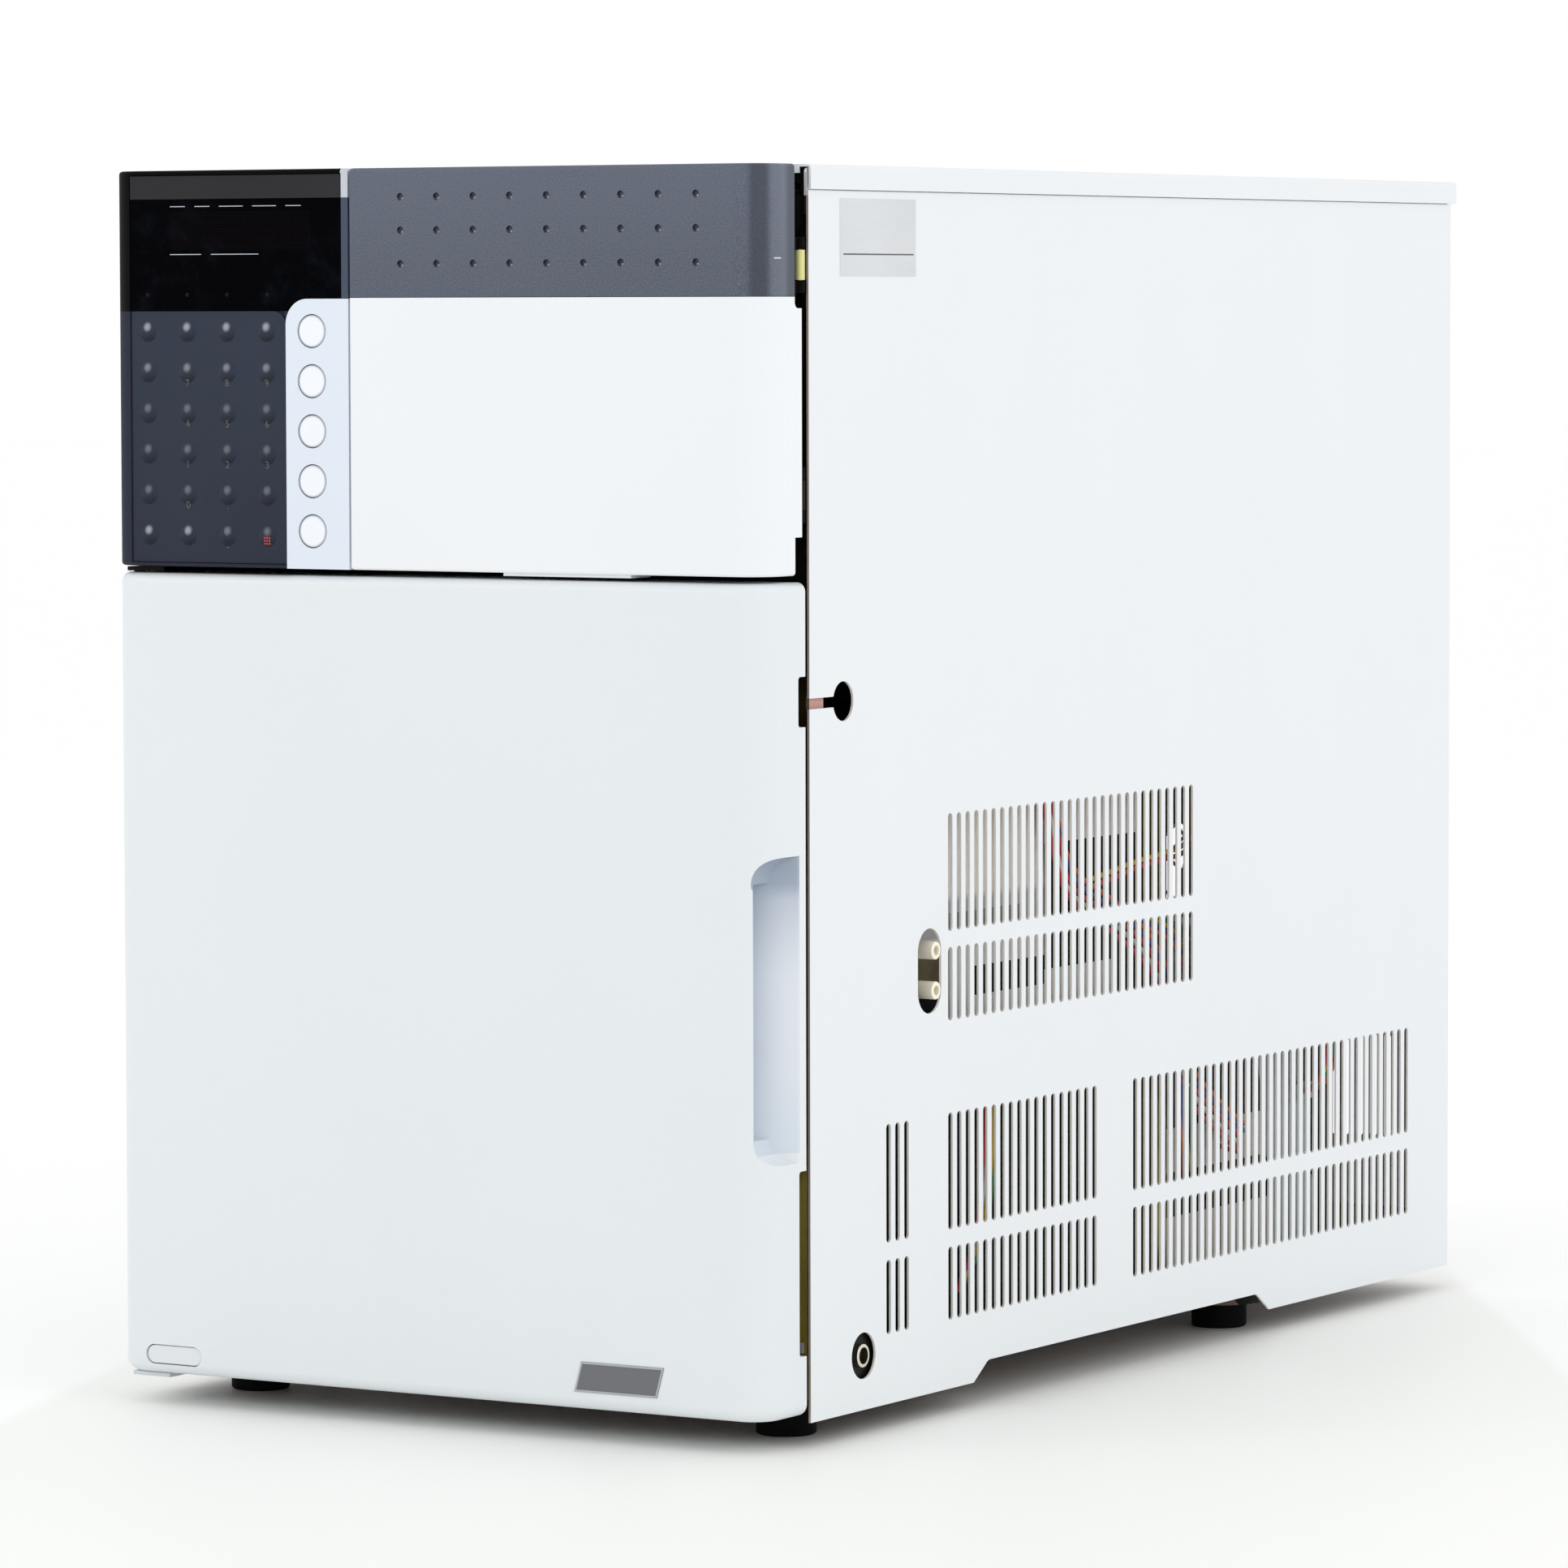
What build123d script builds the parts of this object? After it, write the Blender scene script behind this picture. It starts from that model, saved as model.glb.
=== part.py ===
from build123d import *
import os
from math import cos, radians, sin, sqrt

# A bench autosampler for liquid chromatography, in millimetres.
# X runs from left to right as seen from the front, Y from front to back, Z upwards.
# The origin is on the floor, under the middle of the casing.

# Casing
lid_width = 260.0
overall_depth = 500.0
overall_height = 415.0
lid_side_overlap = 1.0
lid_rear_overlap = 4.0
lid_height = 8.0
lid_edge_radius = 1.5
lid_lip_height = 2.8
leaf_corner = 2.0
foot_drop = 8.2
front_setback = 27.5
sheet = 0.8
frame_sheet = 2.0
return_flange = 10.0
sheet_gap = 0.3
cut_overrun = 2.0
edge_softening = 1.2

# Front mouldings
front_radius = 12.0
moulding_wall = 2.5
upper_front_height = 131.9
front_row_gap = 2.3
door_rear_gap = 2.5
door_floor_rise = 2.6
cover_rear_gap = 4.3
parting_from_middle = 30.5
parting_gap = 0.8

# Base pan and feet
pan_rise = 7.3
pan_sheet = 1.2
pan_lip_height = 14.0
foot_radius = 10.0
foot_from_middle = 105.0
front_foot_y = -198.0
rear_foot_y = 107.0
foot_cup_radius = 22.0
foot_cup_slope = 6.0
foot_cup_drop = 6.2
foot_recess_radius = 4.0
foot_recess_depth = 3.0

# Side panels: vents, holes and the cut-out over the floor
vent_width = 3.0
vent_pitch = 5.89
vent_first_from_front = 91.4
vent_upper_bottom = 161.6
vent_upper_height = 39.4
vent_middle_bottom = 131.7
vent_short_height = 24.6
vent_lower_bottom = 61.6
vent_lower_height = 39.3
vent_floor_bottom = 31.3
vent_count_top = 30
vent_count_low = 18
vent_count_front = 3
vent_count_rear = 37
vent_rear_from_front = 221.0
vent_front_from_front = 50.3
joggle = 0.8
lower_cut_front_y = -115.5
lower_cut_rear_y = 100.3
lower_cut_height = 6.6
lower_cut_slope = 10.0
lower_cut_radius = 4.0
lower_cut_nose = 1.0
keyhole_y = -201.0
keyhole_z = 241.5
keyhole_radius = 6.5
keyhole_slot = 3.5
drain_hole_y = -145.0
drain_hole_z = 149.3
drain_hole_width = 15.5
drain_hole_height = 28.4
outlet_y = -188.6
outlet_z = 26.1
outlet_hole_radius = 7.7

# Front frame and inner frame
mouth_half_width = 98.0
mouth_top_z = 262.0
window_left_x = -24.0
window_right_x = 118.0
window_bottom_z = 296.0
window_top_z = 398.0
relief_left_x = 119.8
relief_right_x = 125.9
relief_corner = 2.5
relief_zs = ((364.0, 376.5), (389.0, 409.3))
cable_window_left_x = -112.0
cable_window_right_x = -40.0
deck_z = 282.0
bulkhead_y = 44.0
side_channel = 15.5
deck_notch_length = 46.0
deck_front_notch_y = -150.0
deck_rear_notch_y = 150.0

# Sample chamber
chamber_wall = 3.0
chamber_half_width = 98.0
chamber_floor_z = 44.0
chamber_ceiling_z = 274.0
chamber_rear_y = 10.0
insulation_wall = 11.8
insulation_rear = 16.8
foam_pad_x = 126.8
foam_pad_rear_y = -210.0
foam_pad_height = 12.0
liner_gap = 0.2

# Sample tray, rack and vials
tray_left_x = -94.0
tray_right_x = 48.0
tray_front_y = -158.0
tray_rear_y = -8.0
tray_sheet = 2.0
tray_side_height = 14.0
tray_grip_reach = 14.0
tray_grip_half_width = 30.0
tray_grip_hole = 8.0
running_gap = 0.3
rack_margin = 3.0
rack_height = 32.0
well_pitch = 19.0
wells_across = 7
wells_deep = 7
well_radius = 6.1
well_floor = 2.4
vial_radius = 5.8
vial_wall = 0.9
vial_height = 32.0
vial_shoulder_height = 24.0
vial_neck_height = 26.5
vial_neck_radius = 4.0
cap_radius = 5.6
cap_height = 7.0
cap_top = 1.6
cap_gap = 0.15

# Needle gantry
rail_radius = 4.0
rail_from_middle = 88.0
rail_z = 262.0
rail_front_y = -212.0
running_fit = 0.05
beam_front_y = -28.0
beam_rear_y = -8.0
beam_bottom_z = 236.0
beam_top_z = 250.0
beam_half_width = 94.0
beam_end_width = 16.0
beam_end_margin = 4.0
guide_left_x = -60.0
guide_depth = 6.0
guide_height = 8.0
needle_home_x = 72.0
needle_home_y = -46.0
carriage_half_width = 16.0
carriage_depth = 28.0
carriage_bottom_z = 226.0
carriage_top_z = 256.0
post_width = 10.0
post_bottom_z = 150.0
post_top_z = 270.0
holder_width = 16.0
holder_height = 12.0
needle_radius = 0.8
needle_point_radius = 0.2
needle_tip_z = 97.0
port_top_z = 92.0
port_radius = 9.0
port_bore_radius = 1.5
rinse_port_y = -80.0
rinse_port_radius = 8.0
rinse_bore_radius = 4.5
rinse_port_top_z = 88.0
port_flange = 24.0
port_flange_thickness = 4.0

# Injection valve and measuring pump, in the upper bay
fluidics_z = 345.0
fittings_y = -231.0
valve_x = 70.0
valve_radius = 24.0
valve_front_y = -236.0
valve_rear_y = -196.0
valve_face = 10.0
rotor_radius = 13.7
rotor_thickness = 6.5
rotor_shaft_radius = 5.0
drive_front_y = -180.0
drive_rear_y = -112.0
drive_half_width = 24.0
drive_socket_depth = 9.0
port_fitting_radius = 3.0
port_fitting_length = 6.0
valve_ports = 6
valve_port_turn = 30.0
pump_x = 10.0
pump_half_width = 18.0
pump_front_y = -238.0
pump_rear_y = -208.0
plunger_radius = 3.0
plunger_fit = 0.06
plunger_front_y = -214.0
crosshead_front_y = -195.0
crosshead_thickness = 12.0
crosshead_half_width = 15.0
plunger_stroke = 12.0
plunger_overtravel = 2.0
push_rod_radius = 4.0
push_rod_rear_y = -130.0
pump_drive_front_y = -152.0
pump_drive_rear_y = -92.0
guide_rod_radius = 2.5
guide_rod_front_y = -204.0
guide_rod_spread = 10.0
pedestal_half_width = 14.0
pedestal_thickness = 8.0
tube_radius = 0.8
tube_bend = 5.0
tube_elbow_reach = 44.0

# Door
grip_bottom_z = 93.4
grip_top_z = 193.1
grip_corner_radius = 8.5
grip_lip_x = 122.8
grip_lip_y = -248.5
grip_depth_x = 115.5
grip_depth_y = -245.5
grip_rear_y = -230.5
grip_lip = 1.0
door_top_radius = 3.0
door_bottom_radius = 4.0
side_notch_bottom_z = 234.2
side_notch_top_z = 250.5
side_notch_depth = 4.4
low_notch_bottom_z = 30.4
low_notch_top_z = 90.7
hinge_x = -121.5
hinge_y = -242.0
hinge_pin_radius = 2.0
hinge_boss_radius = 4.5
hinge_boss_height = 8.0
hinge_plate = 1.4
hinge_plate_lip = 1.0
hinge_plate_left_x = -124.5
hinge_plate_right_x = -109.5
hinge_leaf_left_x = -118.5
hinge_leaf_sheet = 1.5
hinge_leaf_height = 20.0
door_liner_half_width = 110.0
door_liner_bottom_z = 35.0
door_liner_top_z = 271.0
liner_panel_margin = 20.0
liner_panel_depth = 3.0
gasket_width = 7.0
gasket_margin = 2.0
catch_left_x = 111.2
catch_right_x = 118.4
catch_foot_right_x = 126.0
catch_foot_height = 3.4
strike_pad = 3.0
catch_height = 8.0
catch_front_y = -233.0
low_catch_z = 32.0
high_catch_z = 238.0
power_x = -104.3
power_z = 17.35
power_width = 22.8
power_height = 6.7
power_recess = 0.5
power_travel = 2.5
button_gap = 0.3
power_stem_z = 27.0
power_stem_radius = 2.5
power_guide_wall = 1.5
power_guide_depth = 8.0
power_switch_half_width = 10.0
power_switch_height = 16.0
power_switch_depth = 24.0
power_plunger_radius = 3.0
power_plunger_proud = 2.3
power_plate_bottom_z = 14.0
power_plate_top_z = 30.0
power_plate = 2.0

# Console
console_front_wall = 3.5
film_recess = 1.3
film_thickness = 0.6
window_setback = 0.3
dome_height = 0.6
film_left_x = -118.9
window_right_edge_x = -33.8
window_bottom_edge_z = 368.2
screen_left_x = -112.0
screen_right_x = -42.0
screen_bottom_z = 376.0
screen_top_z = 402.0
keypad_right_x = -56.2
keypad_corner_radius = 5.0
dome_radius = 3.5
dome_first_x = -112.2
dome_pitch_x = 16.07
dome_first_z = 361.5
dome_pitch_z = 13.56
dome_columns = 4
dome_rows = 6
strip_left_x = -56.0
strip_top_z = 372.4
strip_corner_radius = 8.5
strip_depth = 6.0
strip_wall = 2.2
button_x = -45.5
button_first_z = 361.6
button_pitch = 16.5
button_count = 5
button_radius = 5.35
button_flange = 1.2
button_flange_thickness = 1.0
button_stem_radius = 2.0
button_travel = 1.0
button_top_setback = 0.1
button_edge = 0.4
board_y = -240.0
board_thickness = 1.6
board_left_x = -116.0
board_right_x = -36.5
board_bottom_z = 292.0
board_top_z = 403.0
console_post_radius = 3.5
console_post_inset = 5.0

# Upper cover
band_height = 42.5
band_rear_gap = 8.6
band_wall = 2.4
dimple_first_from_parting = 20.4
dimple_first_from_top = 9.5
dimple_pitch_x = 14.2
dimple_pitch_z = 10.95
dimple_radius = 1.25
dimple_depth = 0.8
dimple_columns = 9
dimple_rows = 3
band_notch_height = 3.7
band_notch_corner = 2.0
cover_notch_height = 12.3
cover_hinge_inset = 1.8
cover_hinge_behind = 1.9
knuckle_radius = 1.6
cover_pin_radius = 0.8
barrel_height = 9.6
upper_barrel_z = 377.9
lower_barrel_z = 304.0
knuckle_height = 4.0
cover_leaf_left_x = 118.6
cover_leaf_offset = 0.2
cover_lip_left_x = 28.0
cover_lip_right_x = 77.0
cover_lip_drop = 1.1
cover_lip_depth = 12.0

# Rear bay
fan_x = 40.0
fan_z = 190.0
fan_size = 120.0
fan_depth = 25.0
fan_bore_radius = 57.0
fan_hub_radius = 20.0
fan_blade_radius = 55.0
fan_blades = 7
fan_blade_thickness = 1.6
fan_blade_pitch = 35.0
fan_shaft_radius = 2.0
fan_strut = 5.0
fan_hub_plate = 3.0
fan_rotor_depth = 20.0
fan_chord = 18.0
fan_screw_pitch = 105.0
diagonal_angles = (45, 135)
guard_foot_radius = 4.0
guard_first_ring = 12.0
guard_ring_pitch = 11.0
guard_wire_radius = 0.8
guard_rings = 5
guard_ring_lift = 1.2
guard_bar_lift = 0.6
sink_half_width = 50.0
sink_bottom_z = 120.0
sink_top_z = 220.0
sink_base = 6.0
sink_reach = 46.0
sink_fins = 13
sink_fin_thickness = 1.6
sink_neck_half_width = 20.0
supply_left_x = 20.0
supply_right_x = 104.0
supply_front_y = 60.0
supply_rear_y = 200.0
supply_height = 88.0
supply_slot_width = 3.0
supply_slot_pitch = 9.0
supply_slot_depth = 1.2
supply_slot_foot = 10.0
supply_slots = 12
main_board_half_width = 100.0
main_board_front_y = -60.0
main_board_rear_y = 190.0
main_board_lift = 8.0
chip_height = 2.0
capacitor_radius = 4.0
capacitor_height = 14.0
standoff_radius = 3.0
standoff_inset = 8.0
inlet_x = -90.0
inlet_z = 50.0
inlet_flange_width = 50.0
inlet_flange_height = 28.0
inlet_flange = 2.5
inlet_body_width = 28.0
inlet_body_height = 20.0
inlet_body_depth = 22.0
inlet_socket_width = 24.4
inlet_socket_height = 16.4
inlet_socket_depth = 17.0
inlet_pin_width = 4.0
inlet_pin_thickness = 2.0
inlet_pin_length = 14.0
inlet_pin_spread = 7.0
inlet_pin_lift = 2.6
connector_x = -70.0
connector_z = 320.0
connector_pitch = 26.0
connector_count = 3
connector_width = 36.0
connector_height = 12.0
connector_depth = 14.0
connector_shell = 1.0
connector_proud = 3.0
screw_head_radius = 3.5
screw_head_height = 2.2
screw_head_round = 0.7
screw_radius = 1.75
screw_length = 7.0
screw_gap = 0.1
screw_inset = 5.2
screw_rows = 4
screw_slot = 0.9
rear_vent_count = 28
rear_vent_first_x = -55.0
rear_vent_z = 75.0

# Side fittings and wires
nipple_y = -142.2
nipple_spread = 6.65
nipple_radius = 3.0
nipple_bore_radius = 1.65
nipple_bore_depth = 12.0
nipple_edge = 0.4
nipple_block_width = 16.0
nipple_block_height = 30.0
nipple_block_reach = 4.6
nipple_proud = 1.0
connector_ring_radius = 4.0
connector_ring_gap = 0.1
outlet_bore_radius = 2.8
outlet_bore_depth = 10.0
outlet_flange_radius = 6.5
outlet_flange_thickness = 2.0
outlet_tab_height = 22.0
outlet_tab_half_width = 9.0
outlet_inner_length = 8.0
wire_radius = 0.9
wire_bend = 6.0
wire_spacing = 2.6
loom_wires = 4
loom_channel_x = 118.0
loom_supply_y = 100.0
loom_supply_z = 72.0
loom_rise = 128.0
loom_slant_rear_y = 88.0
loom_slant_front_y = -75.0
loom_front_y = -120.0
loom_top_z = 338.0
board_loom_y = 166.0
board_loom_z = 80.0
board_plug_z = 299.0
console_loom_x = -80.0
console_loom_z = 330.0
console_loom_bend_y = -205.0
console_loom_foot_y = -84.0
terminal_reach = 4.0
terminal_margin = 3.0
board_plug_depth = 10.0
board_plug_height = 10.0

# Places worked out from the sizes above
front_y = -overall_depth / 2
rear_y = overall_depth / 2
side_x = lid_width / 2 - lid_side_overlap
side_inner_x = side_x - sheet
frame_x = side_inner_x - joggle - sheet_gap
side_front_y = front_y + front_setback
casing_rear_y = rear_y - lid_rear_overlap
casing_bottom_z = foot_drop
lid_bottom_z = overall_height - lid_height
frame_front_y = side_front_y + sheet + sheet_gap
frame_rear_y = frame_front_y + frame_sheet
pan_bottom_z = casing_bottom_z + pan_rise
pan_top_z = pan_bottom_z + pan_sheet
foot_seat_z = pan_bottom_z - foot_cup_drop
rear_panel_y = casing_rear_y - sheet
rear_inner_y = rear_panel_y - sheet_gap
console_bottom_z = overall_height - upper_front_height
door_top_z = console_bottom_z - front_row_gap
door_bottom_z = casing_bottom_z + door_floor_rise
door_rear_y = side_front_y - door_rear_gap
cover_rear_y = side_front_y - cover_rear_gap
band_rear_y = side_front_y - band_rear_gap
band_bottom_z = overall_height - band_height
console_right_x = -parting_from_middle - parting_gap / 2
cover_left_x = -parting_from_middle + parting_gap / 2
deck_top_z = deck_z + frame_sheet
channel_x = frame_x - side_channel
liner_x = chamber_half_width + chamber_wall
liner_rear_y = chamber_rear_y + chamber_wall
liner_bottom_z = chamber_floor_z - chamber_wall
liner_top_z = chamber_ceiling_z + chamber_wall
insulation_x = liner_x + liner_gap + insulation_wall
insulation_rear_y = liner_rear_y + liner_gap + insulation_rear
frame_top_z = overall_height - sheet - sheet_gap
panel_top_z = lid_bottom_z - sheet_gap
screw_span = panel_top_z - pan_bottom_z - 2 * screw_inset
screw_places = [
    (side * (side_x - screw_inset), pan_bottom_z + screw_inset + row * screw_span / (screw_rows - 1))
    for row in range(screw_rows)
    for side in (-1, 1)
]


def block(x_span, y_span, z_span, mode=Mode.ADD):
    """A block between two faces on each axis."""
    spans = (x_span, y_span, z_span)
    with Locations(tuple((low + high) / 2 for low, high in spans)):
        Box(*(high - low for low, high in spans), mode=mode)


def rod_x(y, z, radius, x_span, mode=Mode.ADD):
    """A round bar along X."""
    with Locations(Location(((x_span[0] + x_span[1]) / 2, y, z), (0, 90, 0))):
        Cylinder(radius, x_span[1] - x_span[0], mode=mode)


def rod_y(x, z, radius, y_span, mode=Mode.ADD):
    """A round bar along Y."""
    with Locations(Location((x, (y_span[0] + y_span[1]) / 2, z), (90, 0, 0))):
        Cylinder(radius, y_span[1] - y_span[0], mode=mode)


def rod_z(x, y, radius, z_span, mode=Mode.ADD):
    """A round bar along Z."""
    with Locations((x, y, (z_span[0] + z_span[1]) / 2)):
        Cylinder(radius, z_span[1] - z_span[0], mode=mode)


def front_plane(y):
    """The upright plane at this depth, looking out of the front."""
    return Plane.XZ.offset(-y)


def front_shell(x_span, y_span, z_span, radius, corners, mode=Mode.ADD):
    """A prism whose chosen front corners are rounded in plan."""
    with BuildSketch(Plane.XY.offset(z_span[0])) as outline:
        with Locations(((x_span[0] + x_span[1]) / 2, (y_span[0] + y_span[1]) / 2)):
            Rectangle(x_span[1] - x_span[0], y_span[1] - y_span[0])
        front = vertices().group_by(Axis.Y)[0].sort_by(Axis.X)
        fillet([front[index] for index in corners], radius)
    extrude(outline.sketch, amount=z_span[1] - z_span[0], mode=mode)


def soften(face, rear, radius):
    """Rounds a level face's edges, but for those on the open rear."""
    fillet(face.edges().filter_by(lambda edge: edge.center().Y < rear - radius), radius)


def pill(width, height, x, z, y_span, mode=Mode.ADD):
    """A bar with round ends in front view, between two depths."""
    with BuildSketch(front_plane(y_span[0])) as outline:
        with Locations((x, z)):
            SlotOverall(width, height)
    extrude(outline.sketch, amount=y_span[0] - y_span[1], mode=mode)


def tube(points, radius, bend):
    """A round tube along straight runs joined by arcs."""
    with BuildLine() as path:
        FilletPolyline(*points, radius=bend)
    with BuildSketch(Plane(origin=path.line @ 0, z_dir=path.line % 0)) as section:
        Circle(radius)
    sweep(section.sketch, path=path.line)


def screw_holes(y_span):
    """Clearance holes for the rear screws."""
    for x, z in screw_places:
        rod_y(x, z, screw_radius + screw_gap, y_span, Mode.SUBTRACT)


def finish(piece, name):
    """Labels a finished piece and writes it."""
    piece.part.label = name
    export_step(piece.part, f"parts/{name}.step")


os.makedirs("parts", exist_ok=True)

# Base pan with drawn cups over the feet, and a tab for the outlet connector
foot_places = [
    (side * foot_from_middle, y) for y in (front_foot_y, rear_foot_y) for side in (-1, 1)
]
pan_front_y = frame_rear_y
pan_rear_y = rear_inner_y - sheet - sheet_gap
with BuildPart() as base_pan:
    block((-frame_x, frame_x), (pan_front_y, pan_rear_y), (pan_bottom_z, pan_bottom_z + pan_lip_height))
    block(
        (-frame_x + pan_sheet, frame_x - pan_sheet),
        (pan_front_y + pan_sheet, pan_rear_y - pan_sheet),
        (pan_top_z, pan_bottom_z + pan_lip_height + cut_overrun),
        Mode.SUBTRACT,
    )
    with Locations(*[(x, y, pan_bottom_z - foot_cup_drop / 2) for x, y in foot_places]):
        Cone(foot_cup_radius - foot_cup_slope, foot_cup_radius, foot_cup_drop)
    with Locations(*[(x, y, pan_top_z - foot_cup_drop / 2) for x, y in foot_places]):
        Cone(
            foot_cup_radius - foot_cup_slope - pan_sheet,
            foot_cup_radius - pan_sheet,
            foot_cup_drop,
            mode=Mode.SUBTRACT,
        )
    block(
        (frame_x - pan_sheet, frame_x),
        (outlet_y - outlet_tab_half_width, outlet_y + outlet_tab_half_width),
        (pan_bottom_z, pan_bottom_z + outlet_tab_height),
    )
    rod_x(outlet_y, outlet_z, connector_ring_radius, (frame_x - cut_overrun, frame_x + cut_overrun),
          Mode.SUBTRACT)
    for x, y in foot_places:
        rod_z(x, y, screw_radius, (foot_seat_z - cut_overrun, foot_seat_z + pan_sheet + cut_overrun),
              Mode.SUBTRACT)
    rod_y(power_x, power_stem_z, power_plunger_radius + sheet_gap,
          (pan_front_y - cut_overrun, pan_front_y + pan_sheet + cut_overrun), Mode.SUBTRACT)
    screw_holes((pan_rear_y - pan_sheet - cut_overrun, pan_rear_y + cut_overrun))
finish(base_pan, "base_pan")

# Rubber feet, each recessed for its screw
with BuildPart() as rubber_feet:
    for x, y in foot_places:
        rod_z(x, y, foot_radius, (0, foot_seat_z))
    fillet(edges().filter_by(GeomType.CIRCLE).group_by(Axis.Z)[0], edge_softening)
    for x, y in foot_places:
        rod_z(x, y, foot_recess_radius, (-cut_overrun, foot_recess_depth), Mode.SUBTRACT)
        rod_z(x, y, screw_radius, (0, foot_seat_z + cut_overrun), Mode.SUBTRACT)
finish(rubber_feet, "rubber_feet")

# Front frame with the chamber mouth, two windows, reliefs beside the cover's hinge and the switch hole
with BuildPart() as front_frame:
    block((-frame_x, frame_x), (frame_front_y, frame_rear_y), (pan_bottom_z, frame_top_z))
    through = (frame_front_y - cut_overrun, frame_rear_y + cut_overrun)
    block((-mouth_half_width, mouth_half_width), through, (chamber_floor_z, mouth_top_z), Mode.SUBTRACT)
    block((window_left_x, window_right_x), through, (window_bottom_z, window_top_z), Mode.SUBTRACT)
    block((cable_window_left_x, cable_window_right_x), through, (window_bottom_z, window_top_z),
          Mode.SUBTRACT)
    rod_y(power_x, power_stem_z, power_plunger_radius + sheet_gap, through, Mode.SUBTRACT)
    fillet(edges().filter_by(Axis.Y).filter_by(lambda edge: abs(edge.center().X) < frame_x - cut_overrun),
           cut_overrun)
    with BuildSketch(front_plane(through[0])):
        for low_z, high_z in relief_zs:
            with Locations(((relief_left_x + relief_right_x) / 2, (low_z + high_z) / 2)):
                RectangleRounded(relief_right_x - relief_left_x, high_z - low_z, relief_corner)
    extrude(amount=through[0] - through[1], mode=Mode.SUBTRACT)
finish(front_frame, "front_frame")

# Inner frame: the mid deck and the bulkhead welded under it
with BuildPart() as inner_frame:
    block((-frame_x, frame_x), (frame_rear_y, pan_rear_y), (deck_z, deck_top_z))
    for notch_y in (deck_front_notch_y, deck_rear_notch_y):
        block(
            (channel_x, frame_x + cut_overrun),
            (notch_y, notch_y + deck_notch_length),
            (deck_z - cut_overrun, deck_top_z + cut_overrun),
            Mode.SUBTRACT,
        )
    block((-frame_x + pan_sheet, channel_x), (bulkhead_y, bulkhead_y + frame_sheet), (pan_top_z, deck_z))
    sink_middle_z = (sink_bottom_z + sink_top_z) / 2
    neck_cut = sink_neck_half_width + sheet_gap
    block(
        (-neck_cut, neck_cut),
        (bulkhead_y - cut_overrun, bulkhead_y + frame_sheet + cut_overrun),
        (sink_middle_z - neck_cut, sink_middle_z + neck_cut),
        Mode.SUBTRACT,
    )
    for side in (-1, 1):
        block(
            (side * channel_x - pan_sheet, side * channel_x),
            (bulkhead_y + frame_sheet, bulkhead_y + return_flange),
            (pan_top_z, deck_z),
        )
finish(inner_frame, "inner_frame")


def vent_slots(first_y, count, bottom_z, height):
    """A row of upright slots, drawn on a side panel's sketch."""
    for index in range(count):
        with Locations((first_y + index * vent_pitch, bottom_z + height / 2)):
            SlotOverall(height, vent_width, rotation=90)


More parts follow.
